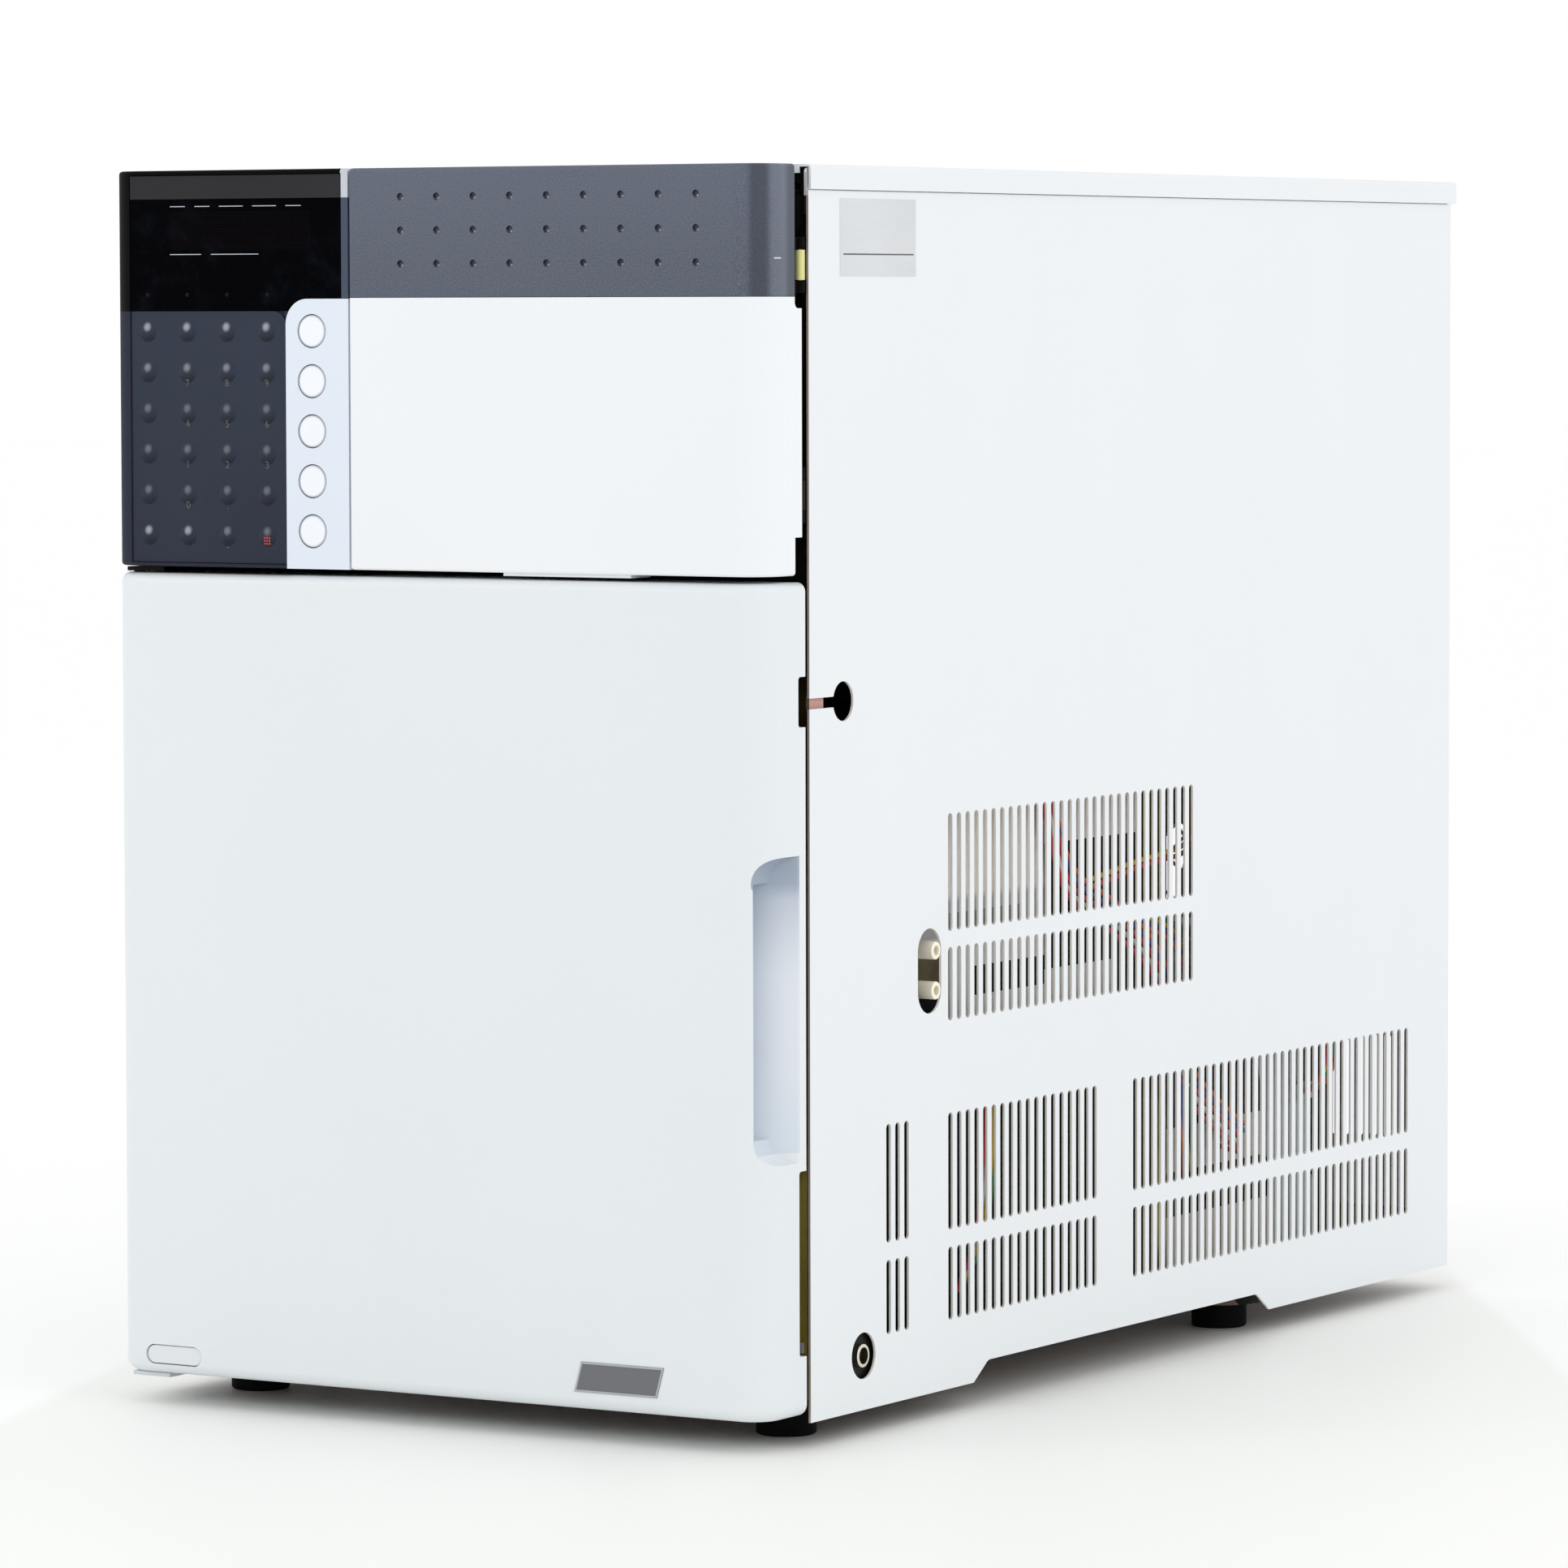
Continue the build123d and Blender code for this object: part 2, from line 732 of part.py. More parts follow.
def side_panel(side, full):
    """One side sheet, stepped in under the lid; side is -1 for left and 1 for right."""
    outer = side * side_x
    inner = side * side_inner_x
    leaf_outer = side * (side_x - joggle)
    leaf_inner = side * (side_inner_x - joggle)
    flange_inner = side * (side_x - return_flange)
    leaf_top_z = overall_height - sheet - sheet_gap / 2
    first_y = side_front_y + vent_first_from_front
    rear_first_y = side_front_y + vent_rear_from_front
    front_first_y = side_front_y + vent_front_from_front
    with BuildPart() as panel:
        block(sorted((leaf_inner, leaf_outer)), (side_front_y, rear_inner_y),
              (lid_bottom_z - lid_height, leaf_top_z))
        fillet(edges().filter_by(Axis.X).group_by(Axis.Z)[-1].sort_by(Axis.Y)[0], leaf_corner)
        block(sorted((inner, outer)), (side_front_y, casing_rear_y), (casing_bottom_z, panel_top_z))
        block(sorted((flange_inner, inner)), (rear_inner_y - sheet, rear_inner_y),
              (pan_bottom_z, panel_top_z))
        with BuildSketch(Plane.YZ.offset(side * side_x - cut_overrun - sheet)):
            with BuildLine():
                cut_top_z = casing_bottom_z + lower_cut_height
                FilletPolyline(
                    (lower_cut_front_y, casing_bottom_z - cut_overrun),
                    (lower_cut_front_y, casing_bottom_z),
                    (lower_cut_front_y + lower_cut_slope, cut_top_z),
                    (lower_cut_rear_y - lower_cut_slope, cut_top_z),
                    (lower_cut_rear_y, casing_bottom_z),
                    (lower_cut_rear_y, casing_bottom_z - cut_overrun),
                    radius=(lower_cut_nose, lower_cut_radius, lower_cut_radius, lower_cut_nose),
                )
                Line((lower_cut_rear_y, casing_bottom_z - cut_overrun),
                     (lower_cut_front_y, casing_bottom_z - cut_overrun))
            make_face()
            vent_slots(first_y, vent_count_low, vent_lower_bottom, vent_lower_height)
            vent_slots(first_y, vent_count_low, vent_floor_bottom, vent_short_height)
            vent_slots(rear_first_y, vent_count_rear, vent_lower_bottom, vent_lower_height)
            vent_slots(rear_first_y, vent_count_rear, vent_floor_bottom, vent_short_height)
            if full:
                vent_slots(first_y, vent_count_top, vent_upper_bottom, vent_upper_height)
                vent_slots(first_y, vent_count_top, vent_middle_bottom, vent_short_height)
                vent_slots(front_first_y, vent_count_front, vent_lower_bottom, vent_lower_height)
                vent_slots(front_first_y, vent_count_front, vent_floor_bottom, vent_short_height)
                with Locations((keyhole_y, keyhole_z)):
                    Circle(keyhole_radius)
                with Locations((outlet_y, outlet_z)):
                    Circle(outlet_hole_radius)
                with Locations((drain_hole_y, drain_hole_z)):
                    SlotOverall(drain_hole_height, drain_hole_width, rotation=90)
        extrude(amount=2 * cut_overrun + 2 * sheet, mode=Mode.SUBTRACT)
        screw_holes((rear_inner_y - sheet - cut_overrun, rear_inner_y + cut_overrun))
        if full:
            block(
                (side_inner_x - cut_overrun, side_x + cut_overrun),
                (side_front_y - cut_overrun, keyhole_y),
                (keyhole_z - keyhole_slot / 2, keyhole_z + keyhole_slot / 2),
                Mode.SUBTRACT,
            )
    return panel


finish(side_panel(-1, False), "left_side_panel")
finish(side_panel(1, True), "right_side_panel")

# Lid: a shallow pan upside down
lid_x = lid_width / 2
with BuildPart() as top_cover:
    block((-lid_x, lid_x), (side_front_y, rear_y), (lid_bottom_z, overall_height))
    fillet(edges().filter_by(Axis.Z).group_by(Axis.Y)[-1], lid_edge_radius)
    rim = faces().sort_by(Axis.Z)[-1].edges()
    fillet(rim.filter_by(lambda edge: edge.center().Y > side_front_y + lid_edge_radius), lid_edge_radius)
    block(
        (-lid_x + sheet, lid_x - sheet),
        (side_front_y - cut_overrun, rear_y - sheet),
        (lid_bottom_z - cut_overrun, overall_height - sheet),
        Mode.SUBTRACT,
    )
    block((-frame_x + joggle + sheet, frame_x - joggle - sheet), (side_front_y, side_front_y + sheet),
          (overall_height - lid_lip_height, overall_height - sheet / 2))
finish(top_cover, "top_cover")

# Rear panel with its openings
connector_places = [
    (connector_x, connector_z + (index - (connector_count - 1) / 2) * connector_pitch)
    for index in range(connector_count)
]
rear_bottom_z = pan_bottom_z + sheet_gap
with BuildPart() as rear_panel:
    block((-frame_x, frame_x), (rear_panel_y, casing_rear_y), (rear_bottom_z, lid_bottom_z + lid_height / 2))
    through = (rear_panel_y - cut_overrun, casing_rear_y + cut_overrun)
    rod_y(fan_x, fan_z, fan_bore_radius, through, Mode.SUBTRACT)
    inlet_cut_x = inlet_body_width / 2 + sheet_gap
    inlet_cut_z = inlet_body_height / 2 + sheet_gap
    block((inlet_x - inlet_cut_x, inlet_x + inlet_cut_x), through,
          (inlet_z - inlet_cut_z, inlet_z + inlet_cut_z), Mode.SUBTRACT)
    for x, z in connector_places:
        block(
            (x - connector_width / 2 - sheet_gap, x + connector_width / 2 + sheet_gap),
            through,
            (z - connector_height / 2 - sheet_gap, z + connector_height / 2 + sheet_gap),
            Mode.SUBTRACT,
        )
    screw_holes(through)
    with BuildSketch(front_plane(rear_panel_y - cut_overrun)):
        for index in range(rear_vent_count):
            with Locations((rear_vent_first_x + index * vent_pitch, rear_vent_z)):
                SlotOverall(vent_upper_height, vent_width, rotation=90)
    extrude(amount=-sheet - 2 * cut_overrun, mode=Mode.SUBTRACT)
finish(rear_panel, "rear_panel")

# Rear panel screws
with BuildPart() as panel_screws:
    for x, z in screw_places:
        rod_y(x, z, screw_head_radius, (casing_rear_y, casing_rear_y + screw_head_height))
        rod_y(x, z, screw_radius, (casing_rear_y - screw_length, casing_rear_y))
    heads = faces().filter_by(Axis.Y).group_by(Axis.Y)[-1]
    fillet(heads.edges(), screw_head_round)
    for x, z in screw_places:
        block(
            (x - screw_radius, x + screw_radius),
            (casing_rear_y + screw_head_height / 2, casing_rear_y + screw_head_height + cut_overrun),
            (z - screw_slot / 2, z + screw_slot / 2),
            Mode.SUBTRACT,
        )
finish(panel_screws, "panel_screws")

# Console housing: a moulded shell, round at its left, open to the rear
console_x = (-side_x, console_right_x)
console_z = (console_bottom_z, overall_height)
console_posts = [
    (x, z)
    for x in (-side_x + moulding_wall + console_post_inset, console_right_x - console_post_inset)
    for z in (console_bottom_z + console_post_inset, overall_height - console_post_inset)
]


def strip_pocket():
    """The room that the button strip takes, cut out of the piece being made."""
    with BuildSketch(front_plane(front_y - cut_overrun)) as outline:
        with Locations(((strip_left_x + console_right_x) / 2 + cut_overrun / 2,
                        (console_bottom_z + strip_top_z) / 2 - cut_overrun / 2)):
            Rectangle(console_right_x - strip_left_x + cut_overrun,
                      strip_top_z - console_bottom_z + cut_overrun)
        fillet(vertices().group_by(Axis.Y)[-1].sort_by(Axis.X)[0], strip_corner_radius)
    extrude(outline.sketch, amount=-strip_depth - cut_overrun, mode=Mode.SUBTRACT)


with BuildPart() as console_housing:
    front_shell(console_x, (front_y, cover_rear_y), console_z, front_radius, (0,))
    soften(faces().sort_by(Axis.Z)[-1], cover_rear_y, edge_softening)
    soften(faces().sort_by(Axis.Z)[0], cover_rear_y, edge_softening)
    front_shell(
        (console_x[0] + moulding_wall, console_x[1] - moulding_wall),
        (front_y + console_front_wall, cover_rear_y + cut_overrun),
        (console_z[0] + moulding_wall, console_z[1] - moulding_wall),
        front_radius - console_front_wall,
        (0,),
        Mode.SUBTRACT,
    )
    recess = (front_y - cut_overrun, front_y + film_recess)
    block((film_left_x - sheet_gap, window_right_edge_x + sheet_gap), recess,
          (window_bottom_edge_z, overall_height - edge_softening - sheet_gap), Mode.SUBTRACT)
    block((film_left_x - sheet_gap, keypad_right_x + sheet_gap), recess,
          (console_bottom_z + edge_softening, window_bottom_edge_z), Mode.SUBTRACT)
    block((screen_left_x, screen_right_x), (front_y, front_y + console_front_wall + cut_overrun),
          (screen_bottom_z, screen_top_z), Mode.SUBTRACT)
    strip_pocket()
    for x, z in console_posts:
        rod_y(x, z, console_post_radius, (front_y + strip_depth, side_front_y - sheet_gap))
finish(console_housing, "console_housing")

# Button strip: a white insert with a hole for each round button
button_zs = [button_first_z - index * button_pitch for index in range(button_count)]
strip_x = (strip_left_x + sheet_gap / 2, console_right_x)
strip_z = (console_bottom_z, strip_top_z - sheet_gap / 2)
with BuildPart() as button_strip:
    with BuildSketch(front_plane(front_y)):
        with Locations(((strip_x[0] + strip_x[1]) / 2, (strip_z[0] + strip_z[1]) / 2)):
            Rectangle(strip_x[1] - strip_x[0], strip_z[1] - strip_z[0])
        fillet(vertices().group_by(Axis.Y)[-1].sort_by(Axis.X)[0], strip_corner_radius)
    extrude(amount=-strip_depth)
    with BuildSketch(front_plane(front_y + moulding_wall)):
        with Locations(((strip_x[0] + strip_x[1]) / 2, (strip_z[0] + strip_z[1]) / 2)):
            Rectangle(strip_x[1] - strip_x[0] - 2 * strip_wall, strip_z[1] - strip_z[0] - 2 * strip_wall)
        fillet(vertices().group_by(Axis.Y)[-1].sort_by(Axis.X)[0], strip_corner_radius - strip_wall)
    extrude(amount=-strip_depth, mode=Mode.SUBTRACT)
    for z in button_zs:
        rod_y(button_x, z, button_radius + button_gap, (front_y - cut_overrun, front_y + strip_depth),
              Mode.SUBTRACT)
finish(button_strip, "button_strip")

# Keypad membrane with its embossed key domes
film_y = (front_y + film_recess - film_thickness, front_y + film_recess)
film_bottom_z = console_bottom_z + edge_softening + sheet_gap
dome_curve = (dome_radius**2 + dome_height**2) / (2 * dome_height)
with BuildPart() as key_dome:
    with Locations((0, 0, dome_height - dome_curve)):
        Sphere(dome_curve)
    split(bisect_by=Plane.XY)
with BuildPart() as keypad_membrane:
    with BuildSketch(front_plane(film_y[0])):
        with Locations(((film_left_x + keypad_right_x) / 2, (film_bottom_z + window_bottom_edge_z) / 2)):
            Rectangle(keypad_right_x - film_left_x, window_bottom_edge_z - film_bottom_z)
        fillet(vertices().group_by(Axis.Y)[-1].sort_by(Axis.X)[-1], keypad_corner_radius)
    extrude(amount=-film_thickness)
    for column in range(dome_columns):
        for row in range(dome_rows):
            with Locations(Location((dome_first_x + column * dome_pitch_x, film_y[0],
                                     dome_first_z - row * dome_pitch_z), (90, 0, 0))):
                add(key_dome.part)
finish(keypad_membrane, "keypad_membrane")

# Glossy window over the title band and the screen
with BuildPart() as display_window:
    block((film_left_x, window_right_edge_x), (front_y + window_setback, front_y + film_recess),
          (window_bottom_edge_z + sheet_gap, overall_height - edge_softening - 2 * sheet_gap))
    strip_pocket()
finish(display_window, "display_window")

# Console board: circuit board, screen module, key switches and bosses
button_rear_y = front_y + strip_depth + button_travel
switch_top_y = button_rear_y + button_travel + button_gap
with BuildPart() as console_board:
    block((board_left_x, board_right_x), (board_y, board_y + board_thickness), (board_bottom_z, board_top_z))
    block((screen_left_x + sheet_gap, screen_right_x - sheet_gap),
          (front_y + film_recess + sheet_gap, board_y),
          (screen_bottom_z + sheet_gap, screen_top_z - sheet_gap))
    for z in button_zs:
        rod_y(button_x, z, button_stem_radius, (switch_top_y, board_y))
    for x in (board_left_x + standoff_inset, board_right_x - standoff_inset):
        for z in (board_bottom_z + standoff_inset, board_top_z - standoff_inset):
            rod_y(x, z, standoff_radius, (board_y + board_thickness, frame_front_y))
finish(console_board, "console_board")

# Five round buttons, each with a flange behind the strip and a stem to its switch
for index, z in enumerate(button_zs, 1):
    with BuildPart() as console_button:
        face_y = front_y + button_top_setback
        flange_y = front_y + moulding_wall + button_gap
        rod_y(button_x, z, button_radius, (face_y, flange_y))
        fillet(edges().filter_by(GeomType.CIRCLE).group_by(Axis.Y)[0], button_edge)
        rod_y(button_x, z, button_radius + button_flange, (flange_y, flange_y + button_flange_thickness))
        rod_y(button_x, z, button_stem_radius, (flange_y, button_rear_y))
    finish(console_button, f"console_button_{index}")

# Upper cover: a white shell, stepped back under the dark band
cover_x = (cover_left_x, side_x)
cover_hinge_x = side_x - cover_hinge_inset
cover_hinge_y = cover_rear_y + cover_hinge_behind
band_gap = moulding_wall + liner_gap
barrel_zs = (upper_barrel_z, lower_barrel_z)
with BuildPart() as upper_cover:
    front_shell(cover_x, (front_y, cover_rear_y), (console_bottom_z, band_bottom_z), front_radius, (1,))
    soften(faces().sort_by(Axis.Z)[0], cover_rear_y, edge_softening)
    front_shell(
        (cover_x[0] + moulding_wall, side_x - moulding_wall),
        (front_y + moulding_wall, cover_rear_y + cut_overrun),
        (console_bottom_z + moulding_wall, band_bottom_z - moulding_wall),
        front_radius - moulding_wall,
        (1,),
        Mode.SUBTRACT,
    )
    inner_front_y = front_y + band_gap
    inner_top_z = overall_height - band_gap
    front_shell(
        (cover_x[0] + band_gap, side_x - band_gap),
        (inner_front_y, band_rear_y),
        (band_bottom_z - moulding_wall, inner_top_z),
        front_radius - band_gap,
        (1,),
    )
    front_shell(
        (cover_x[0] + band_gap + moulding_wall, side_x - band_gap - moulding_wall),
        (inner_front_y + moulding_wall, cover_rear_y + cut_overrun),
        (console_bottom_z + moulding_wall, inner_top_z - moulding_wall),
        front_radius - band_gap - moulding_wall,
        (1,),
        Mode.SUBTRACT,
    )
    block(
        (side_x - moulding_wall - cut_overrun, side_x + cut_overrun),
        (band_rear_y, cover_rear_y + cut_overrun),
        (console_bottom_z - cut_overrun, console_bottom_z + cover_notch_height),
        Mode.SUBTRACT,
    )
    with BuildSketch(Plane.YZ.offset(side_x - moulding_wall - cut_overrun)):
        with Locations((cover_rear_y, band_bottom_z)):
            RectangleRounded(2 * (cover_rear_y - band_rear_y), 2 * band_notch_height, band_notch_corner)
    extrude(amount=moulding_wall + 2 * cut_overrun, mode=Mode.SUBTRACT)
    block((cover_lip_left_x, cover_lip_right_x),
          (front_y + moulding_wall, front_y + moulding_wall + cover_lip_depth),
          (console_bottom_z - cover_lip_drop, console_bottom_z + moulding_wall))
    for low_z in barrel_zs:
        for knuckle_z in (low_z - knuckle_height - liner_gap, low_z + barrel_height + liner_gap):
            knuckle_span = (knuckle_z, knuckle_z + knuckle_height)
            rod_z(cover_hinge_x, cover_hinge_y, knuckle_radius, knuckle_span)
            block((side_x - band_gap - moulding_wall, cover_hinge_x),
                  (band_rear_y, cover_hinge_y), knuckle_span)
    for low_z in barrel_zs:
        rod_z(cover_hinge_x, cover_hinge_y, cover_pin_radius + running_fit,
              (low_z - knuckle_height - cut_overrun, low_z + barrel_height + knuckle_height + cut_overrun),
              Mode.SUBTRACT)
finish(upper_cover, "upper_cover")

# Dark band over the cover's upper part, with three rows of dimples
with BuildPart() as upper_cover_band:
    front_shell(cover_x, (front_y, band_rear_y), (band_bottom_z + liner_gap, overall_height),
                front_radius, (1,))
    soften(faces().sort_by(Axis.Z)[-1], band_rear_y, edge_softening)
    front_shell(
        (cover_x[0] + band_wall, side_x - band_wall),
        (front_y + band_wall, band_rear_y + cut_overrun),
        (band_bottom_z - cut_overrun, overall_height - band_wall),
        front_radius - band_wall,
        (1,),
        Mode.SUBTRACT,
    )
    for column in range(dimple_columns):
        for row in range(dimple_rows):
            rod_y(
                -parting_from_middle + dimple_first_from_parting + column * dimple_pitch_x,
                overall_height - dimple_first_from_top - row * dimple_pitch_z,
                dimple_radius,
                (front_y - cut_overrun, front_y + dimple_depth),
                Mode.SUBTRACT,
            )
finish(upper_cover_band, "upper_cover_band")

# Fixed barrels of the upper cover's hinges, with their pins, and leaves on the front frame
with BuildPart() as upper_cover_hinges:
    for low_z in barrel_zs:
        leaf_span = (low_z, low_z + barrel_height)
        rod_z(cover_hinge_x, cover_hinge_y, knuckle_radius, leaf_span)
        rod_z(cover_hinge_x, cover_hinge_y, cover_pin_radius,
              (low_z - knuckle_height, low_z + barrel_height + knuckle_height))
        block((cover_leaf_left_x, cover_hinge_x),
              (cover_hinge_y + cover_leaf_offset, frame_front_y), leaf_span)
finish(upper_cover_hinges, "upper_cover_hinges")

# Cutter for the door's finger grip: a ramp behind the rounded corner, undercut behind its lip
grip_slope = (grip_rear_y - grip_depth_y) / (side_x - grip_depth_x)
grip_floor_y = grip_depth_y + grip_slope * (grip_lip_x - grip_depth_x)
grip_opening = [
    (grip_lip_x, front_y - cut_overrun),
    (grip_lip_x, grip_floor_y),
    (side_x, grip_rear_y),
    (side_x + cut_overrun, grip_rear_y),
    (side_x + cut_overrun, front_y - cut_overrun),
]
grip_undercut = [
    (grip_lip_x + cut_overrun, grip_lip_y + grip_lip),
    (grip_lip_x, grip_lip_y + grip_lip),
    (grip_depth_x, grip_depth_y),
    (grip_lip_x, grip_floor_y),
    (grip_lip_x + cut_overrun, grip_floor_y),
]
with BuildPart() as grip_cutter:
    with BuildSketch(Plane.XY.offset(grip_bottom_z)):
        with BuildLine():
            Polyline(*grip_opening, close=True)
        make_face()
    extrude(amount=grip_top_z - grip_bottom_z)
    with BuildSketch(front_plane(front_y - cut_overrun)):
        with Locations(((grip_lip_x + side_x + cut_overrun) / 2, (grip_bottom_z + grip_top_z) / 2)):
            Rectangle(side_x + cut_overrun - grip_lip_x, grip_top_z - grip_bottom_z)
        fillet(vertices().group_by(Axis.X)[0], grip_corner_radius - sheet_gap)
    extrude(amount=front_y - door_rear_y - cut_overrun, mode=Mode.INTERSECT)
    with BuildSketch(Plane.XY.offset(grip_bottom_z + grip_corner_radius)):
        with BuildLine():
            Polyline(*grip_undercut, close=True)
        make_face()
    extrude(amount=grip_top_z - grip_bottom_z - 2 * grip_corner_radius)

# Door panel: a moulded shell with a finger grip, notches, hinge bosses and the power button's guide
door_z = (door_bottom_z, door_top_z)
shell_front_y = front_y + moulding_wall
grip_backing_x = (grip_depth_x - moulding_wall, side_x - moulding_wall / 2)
grip_backing_front_y = front_y + moulding_wall / 2
grip_backing_rear_y = grip_rear_y + moulding_wall / 2
grip_backing = [
    (grip_backing_x[0], grip_backing_front_y),
    (grip_backing_x[1], grip_backing_front_y),
    (grip_backing_x[1], grip_backing_rear_y),
    (side_x - moulding_wall, grip_backing_rear_y),
    (grip_backing_x[0], grip_depth_y + moulding_wall),
]
catch_zs = [(low_z, low_z + catch_height) for low_z in (low_catch_z, high_catch_z)]
hinge_boss_zs = (
    (door_bottom_z + moulding_wall / 2, door_bottom_z + moulding_wall + hinge_boss_height),
    (door_top_z - moulding_wall - hinge_boss_height, door_top_z - moulding_wall / 2),
)
with BuildPart() as door_panel:
    front_shell((-side_x, side_x), (front_y, door_rear_y), door_z, front_radius, (0, 1))
    soften(faces().sort_by(Axis.Z)[-1], door_rear_y, door_top_radius)
    soften(faces().sort_by(Axis.Z)[0], door_rear_y, door_bottom_radius)
    front_shell(
        (-side_x + moulding_wall, side_x - moulding_wall),
        (shell_front_y, door_rear_y + cut_overrun),
        (door_bottom_z + moulding_wall, door_top_z - moulding_wall),
        front_radius - moulding_wall,
        (0, 1),
        Mode.SUBTRACT,
    )
    with BuildSketch(Plane.XY.offset(grip_bottom_z - moulding_wall)):
        with BuildLine():
            Polyline(*grip_backing, close=True)
        make_face()
        fillet(vertices().group_by(Axis.Y)[0].sort_by(Axis.X)[-1], front_radius - moulding_wall / 2)
    extrude(amount=grip_top_z - grip_bottom_z + 2 * moulding_wall)
    add(grip_cutter.part, mode=Mode.SUBTRACT)
    with BuildSketch(Plane.YZ.offset(side_x - moulding_wall - cut_overrun)):
        for low_z, high_z in ((side_notch_bottom_z, side_notch_top_z), (low_notch_bottom_z, low_notch_top_z)):
            with Locations((door_rear_y, (low_z + high_z) / 2)):
                RectangleRounded(2 * side_notch_depth, high_z - low_z, edge_softening)
    extrude(amount=moulding_wall + 2 * cut_overrun, mode=Mode.SUBTRACT)
    for boss_z in hinge_boss_zs:
        rod_z(hinge_x, hinge_y, hinge_boss_radius, boss_z)
        rod_z(hinge_x, hinge_y, hinge_pin_radius + running_fit,
              (boss_z[0] - moulding_wall - cut_overrun, boss_z[1] + moulding_wall + cut_overrun),
              Mode.SUBTRACT)
    pill(power_width + 2 * power_guide_wall, power_height + 2 * power_guide_wall, power_x, power_z,
         (shell_front_y, shell_front_y + power_guide_depth))
    pill(power_width, power_height, power_x, power_z,
         (front_y - cut_overrun, shell_front_y + power_guide_depth + cut_overrun), Mode.SUBTRACT)
    for catch_z in catch_zs:
        block((catch_left_x, side_x - moulding_wall / 2),
              (catch_front_y - sheet_gap - strike_pad, catch_front_y - sheet_gap), catch_z)
finish(door_panel, "door_panel")

# Door liner: an insulating block with a shallow panel in its rear face
with BuildPart() as door_liner:
    block((-door_liner_half_width, door_liner_half_width), (shell_front_y + liner_gap, door_rear_y),
          (door_liner_bottom_z, door_liner_top_z))
    fillet(edges().filter_by(Axis.Y), edge_softening)
    panel_x = door_liner_half_width - liner_panel_margin
    block((-panel_x, panel_x), (door_rear_y - liner_panel_depth, door_rear_y + cut_overrun),
          (door_liner_bottom_z + liner_panel_margin, door_liner_top_z - liner_panel_margin), Mode.SUBTRACT)
finish(door_liner, "door_liner")

# Door gasket: a ring round the chamber mouth
gasket_x = mouth_half_width + gasket_margin
gasket_z = (chamber_floor_z - gasket_margin, mouth_top_z + gasket_margin)
gasket_middle_z = (gasket_z[0] + gasket_z[1]) / 2
gasket_height = gasket_z[1] - gasket_z[0]
with BuildPart() as door_gasket:
    with BuildSketch(front_plane(door_rear_y)):
        with Locations((0, gasket_middle_z)):
            RectangleRounded(2 * (gasket_x + gasket_width), gasket_height + 2 * gasket_width, gasket_width)
            RectangleRounded(2 * gasket_x, gasket_height, edge_softening, mode=Mode.SUBTRACT)
    extrude(amount=door_rear_y - frame_front_y + sheet_gap)
finish(door_gasket, "door_gasket")

# Door hinge brackets: a plate, a pin and a leaf on the front frame, above and below the door
hinge_plate_gap = (front_row_gap - hinge_plate) / 2
leaf_x = (hinge_leaf_left_x, hinge_plate_right_x)
upper_bracket_z = door_top_z + hinge_plate_gap + hinge_plate
lower_bracket_z = door_bottom_z - hinge_plate_gap - hinge_plate
with BuildPart() as door_hinge_brackets:
    for plate_z, pin_z, leaf_z in (
        (
            (upper_bracket_z - hinge_plate, upper_bracket_z),
            (door_top_z - moulding_wall - hinge_boss_height, upper_bracket_z),
            (upper_bracket_z - hinge_leaf_height, upper_bracket_z),
        ),
        (
            (lower_bracket_z, lower_bracket_z + hinge_plate),
            (lower_bracket_z, door_bottom_z + moulding_wall + hinge_boss_height),
            (lower_bracket_z, lower_bracket_z + hinge_leaf_height),
        ),
    ):
        block((hinge_plate_left_x, hinge_plate_right_x),
              (hinge_y - hinge_plate_lip - hinge_pin_radius, side_front_y - sheet_gap), plate_z)
        block(leaf_x, (side_front_y - sheet_gap, frame_front_y), plate_z)
        block(leaf_x, (frame_front_y - hinge_leaf_sheet, frame_front_y), leaf_z)
        rod_z(hinge_x, hinge_y, hinge_pin_radius, pin_z)
finish(door_hinge_brackets, "door_hinge_brackets")

# Door catches: two blocks on the front frame, the lower one on a foot
with BuildPart() as door_catch:
    for catch_z in catch_zs:
        block((catch_left_x, catch_right_x), (catch_front_y, frame_front_y), catch_z)
    fillet(edges().filter_by(Axis.X).group_by(Axis.Y)[0], edge_softening)
    foot_z = low_notch_bottom_z + sheet_gap
    block((catch_left_x, catch_foot_right_x), (frame_front_y - hinge_leaf_sheet, frame_front_y),
          (foot_z, foot_z + catch_foot_height))
finish(door_catch, "door_catch")

# Power button: an oblong cap sliding in its guide, with a plate and a stem to the switch
power_plate_y = shell_front_y + power_guide_depth + button_gap
power_tip_y = frame_front_y - power_plunger_proud
with BuildPart() as power_button:
    pill(power_width - 2 * button_gap, power_height - 2 * button_gap, power_x, power_z,
         (front_y + power_recess, power_plate_y))
    fillet(edges().group_by(Axis.Y)[0], button_gap)
    block((power_x - power_width / 2, power_x + power_width / 2),
          (power_plate_y, power_plate_y + power_plate), (power_plate_bottom_z, power_plate_top_z))
    rod_y(power_x, power_stem_z, power_stem_radius,
          (power_plate_y + power_plate, power_tip_y - power_travel - button_gap))
finish(power_button, "power_button")

# Power switch behind the front frame, with its plunger through it
switch_front_y = pan_front_y + pan_sheet + liner_gap
with BuildPart() as power_switch:
    block((power_x - power_switch_half_width, power_x + power_switch_half_width),
          (switch_front_y, switch_front_y + power_switch_depth),
          (power_stem_z - power_switch_height / 2, power_stem_z + power_switch_height / 2))
    fillet(edges().filter_by(Axis.Y), edge_softening)
    rod_y(power_x, power_stem_z, power_plunger_radius, (power_tip_y, switch_front_y))
finish(power_switch, "power_switch")

